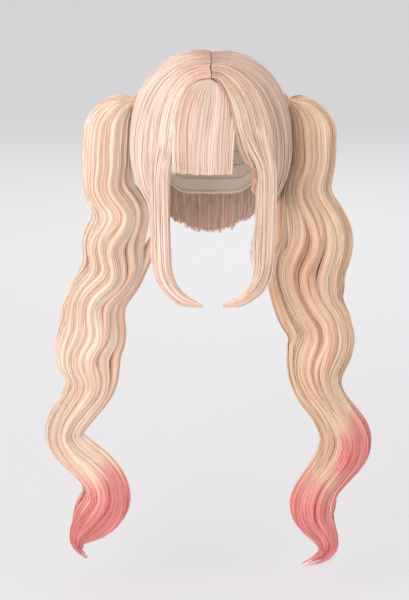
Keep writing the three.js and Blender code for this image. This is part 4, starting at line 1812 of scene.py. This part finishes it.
@dataclass
class WigCap:
    """The elastic net cap, open at the face and the neck, with sewn rows of weft inside."""

    nape_drop: float = 0.074
    nape_tuck: float = 0.12
    columns: int = 84
    levels: int = 18
    wefts: int = 10
    finish: NetFinish = NetFinish()

    def points(self, turn: Array, down: Array, size: Array) -> Array:
        """Finds points of the cap.

        Args:
            turn: the turns from the face, in radians.
            down: shares of the way from the top to the edge.
            size: the cap's half sizes.

        Returns:
            The points, a row for each step down and a column for each turn.
        """
        share = 1 - np.abs(1 - turn / np.pi)
        drop = Table(CAP_EDGE).read(share)["drop"] * self.nape_drop
        fall = np.pi / 2 - np.arcsin(np.clip(-drop, 0, None) / size[2]) + np.maximum(0, drop) / size[2]
        angle = down[:, None] * fall[None, :]
        below = np.maximum(0, angle - np.pi / 2) * size[2]
        tucked = 1 - self.nape_tuck * (below / self.nape_drop) ** 2
        reach = np.where(angle < np.pi / 2, np.sin(angle), tucked)
        height = np.where(angle < np.pi / 2, size[2] * np.cos(angle), -below)
        return np.stack([size[0] * reach * np.sin(turn), -size[1] * reach * np.cos(turn), height], axis=-1)

    def band_lines(self, levels: Array, turns: tuple[float, float], inward: float) -> GuideLines:
        """Lays lines round the inside of the cap.

        Args:
            levels: shares of the way down at which the lines run.
            turns: where they start and stop, in degrees from the face.
            inward: how far inside the cap they lie.

        Returns:
            The lines.
        """
        turn = np.radians(np.linspace(*turns, 60))
        size = HEAD.cap_outer - HEAD.cap_wall - inward
        rows = self.points(turn, levels, size)
        found = GuideLines()
        for row in rows:
            outward = -HEAD.normal(row.copy(), size)
            down = unit(np.cross(outward, tangents(row)))
            found.add(row, down, outward, spread=0.0012, dye=0.0, clump=0.5, looseness=1.0)
        return found

    def build(self, grower: StrandGrower) -> list[Piece]:
        """Builds the cap, the sewn wefts inside it and its bound edge.

        Args:
            grower: grows the threads of the wefts and the edge.

        Returns:
            Its pieces.
        """
        turn = np.arange(self.columns) / self.columns * 2 * np.pi
        down = np.linspace(0.04, 1, self.levels + 1)
        inner, outer = HEAD.cap_outer - HEAD.cap_wall, HEAD.cap_outer - 0.0001
        rings = np.concatenate([self.points(turn, down, inner), self.points(turn, down[::-1], outer)])
        dome = RingSurface(rings, streak_width=0.0032, streak_length=0.0032, crease_degrees=70)
        material = self.finish.material()
        body = dome.make("cap_net", material)
        thread = WeftFinish().material()
        style = StrandStyle(count=4, radius=0.0006, lift=0.0008, wander=0.0004, waves=9, tip=1.0, seed=31)
        rows = self.band_lines(np.linspace(0.3, 0.92, self.wefts), (12, 348), 0.0004)
        wefts = grower.grow("cap_wefts", rows, style, thread)
        rim = self.band_lines(np.array([0.985]), (0, 360), 0.0002)
        edge = grower.grow("cap_binding", rim, style, thread)
        return [seat(body, "cap_net", "wig_cap"), seat(wefts, "cap_net"), seat(edge, "cap_net")]


@dataclass
class HairTie:
    """A covered elastic that is wound round a pigtail's neck."""

    side: Side
    finish: ElasticFinish = ElasticFinish()
    turns: int = 3
    steps: int = 40
    sides: int = 10

    def build(self) -> list[Piece]:
        """Builds the tie.

        Returns:
            Its pieces.
        """
        tie = TieSeat(self.side)
        first = unit(np.cross(tie.outward, np.array([0.0, 0.0, 1.0])))
        second = np.cross(tie.outward, first)
        material = self.finish.material()
        cord = tie.cord / 2 * 0.62
        parts = []
        for index in range(self.turns):
            shift = (index - (self.turns - 1) / 2) * cord * 1.1
            ring = tie.neck_radius + tie.gap + tie.cord / 2 + (0.0003 if index % 2 else -0.0002)
            angle = np.arange(self.steps) / self.steps * 2 * np.pi
            spin = np.arange(self.sides) / self.sides * 2 * np.pi
            out = first * np.cos(angle)[:, None] + second * np.sin(angle)[:, None]
            wobble = shift + 0.0003 * np.sin(3 * angle + 2 * index)
            middle = tie.centre + out * ring + tie.outward * wobble[:, None]
            round_ = out[:, None] * np.cos(spin)[None, :, None] + tie.outward * np.sin(spin)[None, :, None]
            rings = middle[:, None] + round_ * cord
            parts.append(self._loop(f"tie_turn_{index}", rings, material))
        piece = join(f"hair_tie_{self.side.word}_elastic", parts)
        return [seat(piece, "tie_elastic", f"hair_tie_{self.side.word}")]

    def _loop(self, name: str, rings: Array, material: Material) -> Piece:
        """Closes rings into a loop of cord.

        Args:
            name: the loop's name.
            rings: the rings along the loop.
            material: the elastic's material.

        Returns:
            The loop.
        """
        rows, count = rings.shape[:2]
        faces, streaks = [], []
        for row in range(rows):
            for spot in range(count):
                after, nxt = (row + 1) % rows, (spot + 1) % count
                corners = ((row, spot), (row, nxt), (after, nxt), (after, spot))
                faces.append(tuple(r * count + s for r, s in corners))
                for r, s in ((row, spot), (row, spot + 1), (row + 1, spot + 1), (row + 1, spot)):
                    streaks.append((r / rows * 14, s / count * 2))
        mesh = streaked_mesh(name, rings, faces, np.array(streaks, np.float32), material)
        return place_new(name, mesh)


@dataclass(frozen=True)
class SoftLight:
    """A large soft lamp that looks at the wig."""

    name: str
    place: tuple[float, float, float]
    aim: tuple[float, float, float]
    size: float
    power: float
    colour: tuple[float, float, float] = (1.0, 1.0, 1.0)

    def build(self) -> None:
        """Hangs the lamp."""
        lamp = bpy.data.lights.new(self.name, "AREA")
        lamp.shape, lamp.size = "SQUARE", self.size
        lamp.energy, lamp.color = self.power, self.colour
        made = place_new(self.name, lamp)
        made.location = self.place
        made.rotation_euler = (Vector(self.aim) - Vector(self.place)).to_track_quat("-Z", "Y").to_euler()


@dataclass
class Studio:
    """The pale floor, the lamps and the camera."""

    target: tuple[float, float, float] = (-0.008, 0.0, -0.1915)
    distance: float = 3.436
    pitch_degrees: float = 13.7
    lens: float = 164.94
    sensor: float = 36.0
    floor_level: float = -0.6
    floor_half: float = 40.0

    def camera(self) -> None:
        """Sets the camera at the photograph's angle."""
        pitch = math.radians(self.pitch_degrees)
        back = Vector((0.0, -math.cos(pitch), math.sin(pitch)))
        lens = bpy.data.cameras.new("camera")
        lens.lens, lens.sensor_width = self.lens, self.sensor
        made = place_new("camera", lens)
        made.location = Vector(self.target) + back * self.distance
        made.rotation_euler = (-back).to_track_quat("-Z", "Y").to_euler()
        bpy.context.scene.camera = made

    def floor(self) -> None:
        """Lays the wide plain floor."""
        corners = ((-1, -1), (1, -1), (1, 1), (-1, 1))
        points = [(x * self.floor_half, y * self.floor_half, self.floor_level) for x, y in corners]
        mesh = bpy.data.meshes.new("studio_floor")
        mesh.from_pydata(points, [], [(0, 1, 2, 3)])
        mesh.materials.append(FloorFinish().material())
        place_new("studio_floor", mesh)

    def lights(self) -> None:
        """Hangs the soft lamps and sets the pale surroundings."""
        aim = (0.0, 0.0, -0.2)
        for lamp in (
            SoftLight("key lamp", (-1.8, -2.7, 0.8), aim, 2.4, 62.0, (1.0, 0.995, 0.985)),
            SoftLight("fill lamp", (1.8, -2.8, 0.6), aim, 2.2, 18.0, (1.0, 0.99, 0.98)),
            SoftLight("back lamp", (0.2, 2.6, 1.2), aim, 1.6, 12.0),
        ):
            lamp.build()
        world = bpy.data.worlds.new("studio")
        world.use_nodes = True
        pale = world.node_tree.nodes["Background"].inputs
        pale["Color"].default_value = (0.965, 0.96, 0.96, 1.0)
        pale["Strength"].default_value = 0.9
        bpy.context.scene.world = world

    def build(self) -> None:
        """Sets up the camera, the floor and the lamps."""
        bpy.context.scene.view_settings.view_transform = "Standard"
        self.camera()
        self.floor()
        self.lights()


def crown_root(sign: int) -> Callable[[Array], Array]:
    """Gives the place across of a crown section's roots, beside the slightly uneven parting."""
    return lambda share: (sign * PARTING_GAP / 2 + 0.0007 * np.sin(25 * share)) / HEAD.crown_outer[0]


def head_sections() -> list[HairSection]:
    """Gives the two halves of the crown, the back hair and the fringe.

    Returns:
        The sections, the left half of the crown first and the right one next.
    """
    crown = HairFinish("crown hair", (251, 239, 228), (210, 160, 138))
    # The right half's finish is a darker, warmer copy of the crown's: painted shade for the side that the
    # key lamp leaves in shade.
    shaded = HairFinish("crown hair right painted shade", (236, 211, 191), (190, 137, 112))
    # The back hair's colours lie between the crown's and its painted-shade right copy, so that both halves
    # blend round the back: partly hair colour, partly painted shade.
    behind = HairFinish("back hair", (248, 229, 212), (206, 153, 126))
    fringe = HairFinish("fringe hair", (250, 229, 216), (223, 174, 153))
    return [
        HairSection(
            "crown_left", "crown_hair_left", "crown_hair", LEFT_CROWN, crown,
            StrandStyle(count=10, radius=0.00042, lift=0.0012, wander=0.0016, waves=2.2, seed=3),
            side=-1, root_aside=crown_root(-1), over_fringe=True, edge_sink=0.0026,
        ),
        HairSection(
            "crown_right", "crown_hair_right", "crown_hair", RIGHT_CROWN, shaded,
            StrandStyle(count=10, radius=0.00042, lift=0.0012, wander=0.0016, waves=2.2, seed=4),
            # The right half's body gets a deeper painted shade.
            root_aside=crown_root(1), over_fringe=True, edge_slant=12, body_painted_shade=0.05,
        ),
        HairSection(
            "back", "back_hair", "crown_hair", BACK_ROWS, behind,
            StrandStyle(count=10, radius=0.00046, lift=0.0012, wander=0.002, waves=2.5, seed=5),
            root_aside=lambda share: (1 - 2 * share) * PARTING_GAP / 2 / HEAD.crown_outer[0],
            ridges=6, clumps=64, clump_points=22, lined=True,
        ),
        HairSection(
            "fringe", "fringe", "fringe_hair", FRINGE_ROWS, fringe,
            StrandStyle(count=15, radius=0.00034, lift=0.001, wander=0.0009, waves=2, tip=0.8, seed=6),
            outer=HEAD.hair_inner + HEAD.fringe_wall, drop=0.012, hem_wall=0.004,
            root_aside=lambda share: (share - 0.5) * 0.2, ridges=6, ridge_height=0.0006,
            clumps=31, clump_points=18, clump_drift=0.22, hem_length=0.0025, root_painted_shade=0.25,
            columns=96, levels=24,
        ),
    ]


def main() -> None:
    """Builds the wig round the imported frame, reporting each piece."""
    logging.basicConfig(level=logging.INFO, format="%(name)s: %(message)s")
    Studio().build()
    grower = StrandGrower()
    WigCap().build(grower)
    sections = head_sections()
    for section in sections:
        section.build(grower)
    pale = HairFinish("face lock hair left", (254, 237, 225), (220, 168, 143))
    # The right lock's finish is a darker copy of the left's: painted shade for the side that the key lamp
    # leaves in shade.
    deep = HairFinish("face lock hair right painted shade", (251, 231, 214), (212, 157, 130))
    locks = (
        FaceLock(Side.LEFT, inset=0.0365, root_depth=0.01, emerges=0.2, finish=pale),
        FaceLock(Side.RIGHT, inset=0.032, root_depth=0.004, emerges=0.13, finish=deep, wisps=6),
    )
    for lock, crown in zip(locks, sections):
        lock.build(grower, crown)
        HairTie(lock.side).build()
    Pigtail(
        Side.LEFT, HairFinish("pigtail hair left", (251, 239, 223), (225, 167, 136)),
        length=0.594, half_width=0.036, dye_inner=-0.398, dye_outer=-0.436, dye_from=0.115, dye_to=0.165,
        ripple=0.006, ripple_length=0.076, ripple_start=0.0826,
    ).build(grower)
    Pigtail(
        # The right pigtail's finish is a darker, warmer copy of the left's: painted shade for the side
        # that the key lamp leaves in shade.
        Side.RIGHT, HairFinish("pigtail hair right painted shade", (249, 229, 203), (210, 150, 115)),
        length=0.604, half_width=0.041, dye_inner=-0.432, dye_outer=-0.345, dye_from=0.148, dye_to=0.18,
        ripple=0.007, ripple_length=0.118, ripple_start=0.1275,
    ).build(grower)


if __name__ == "__main__":
    main()
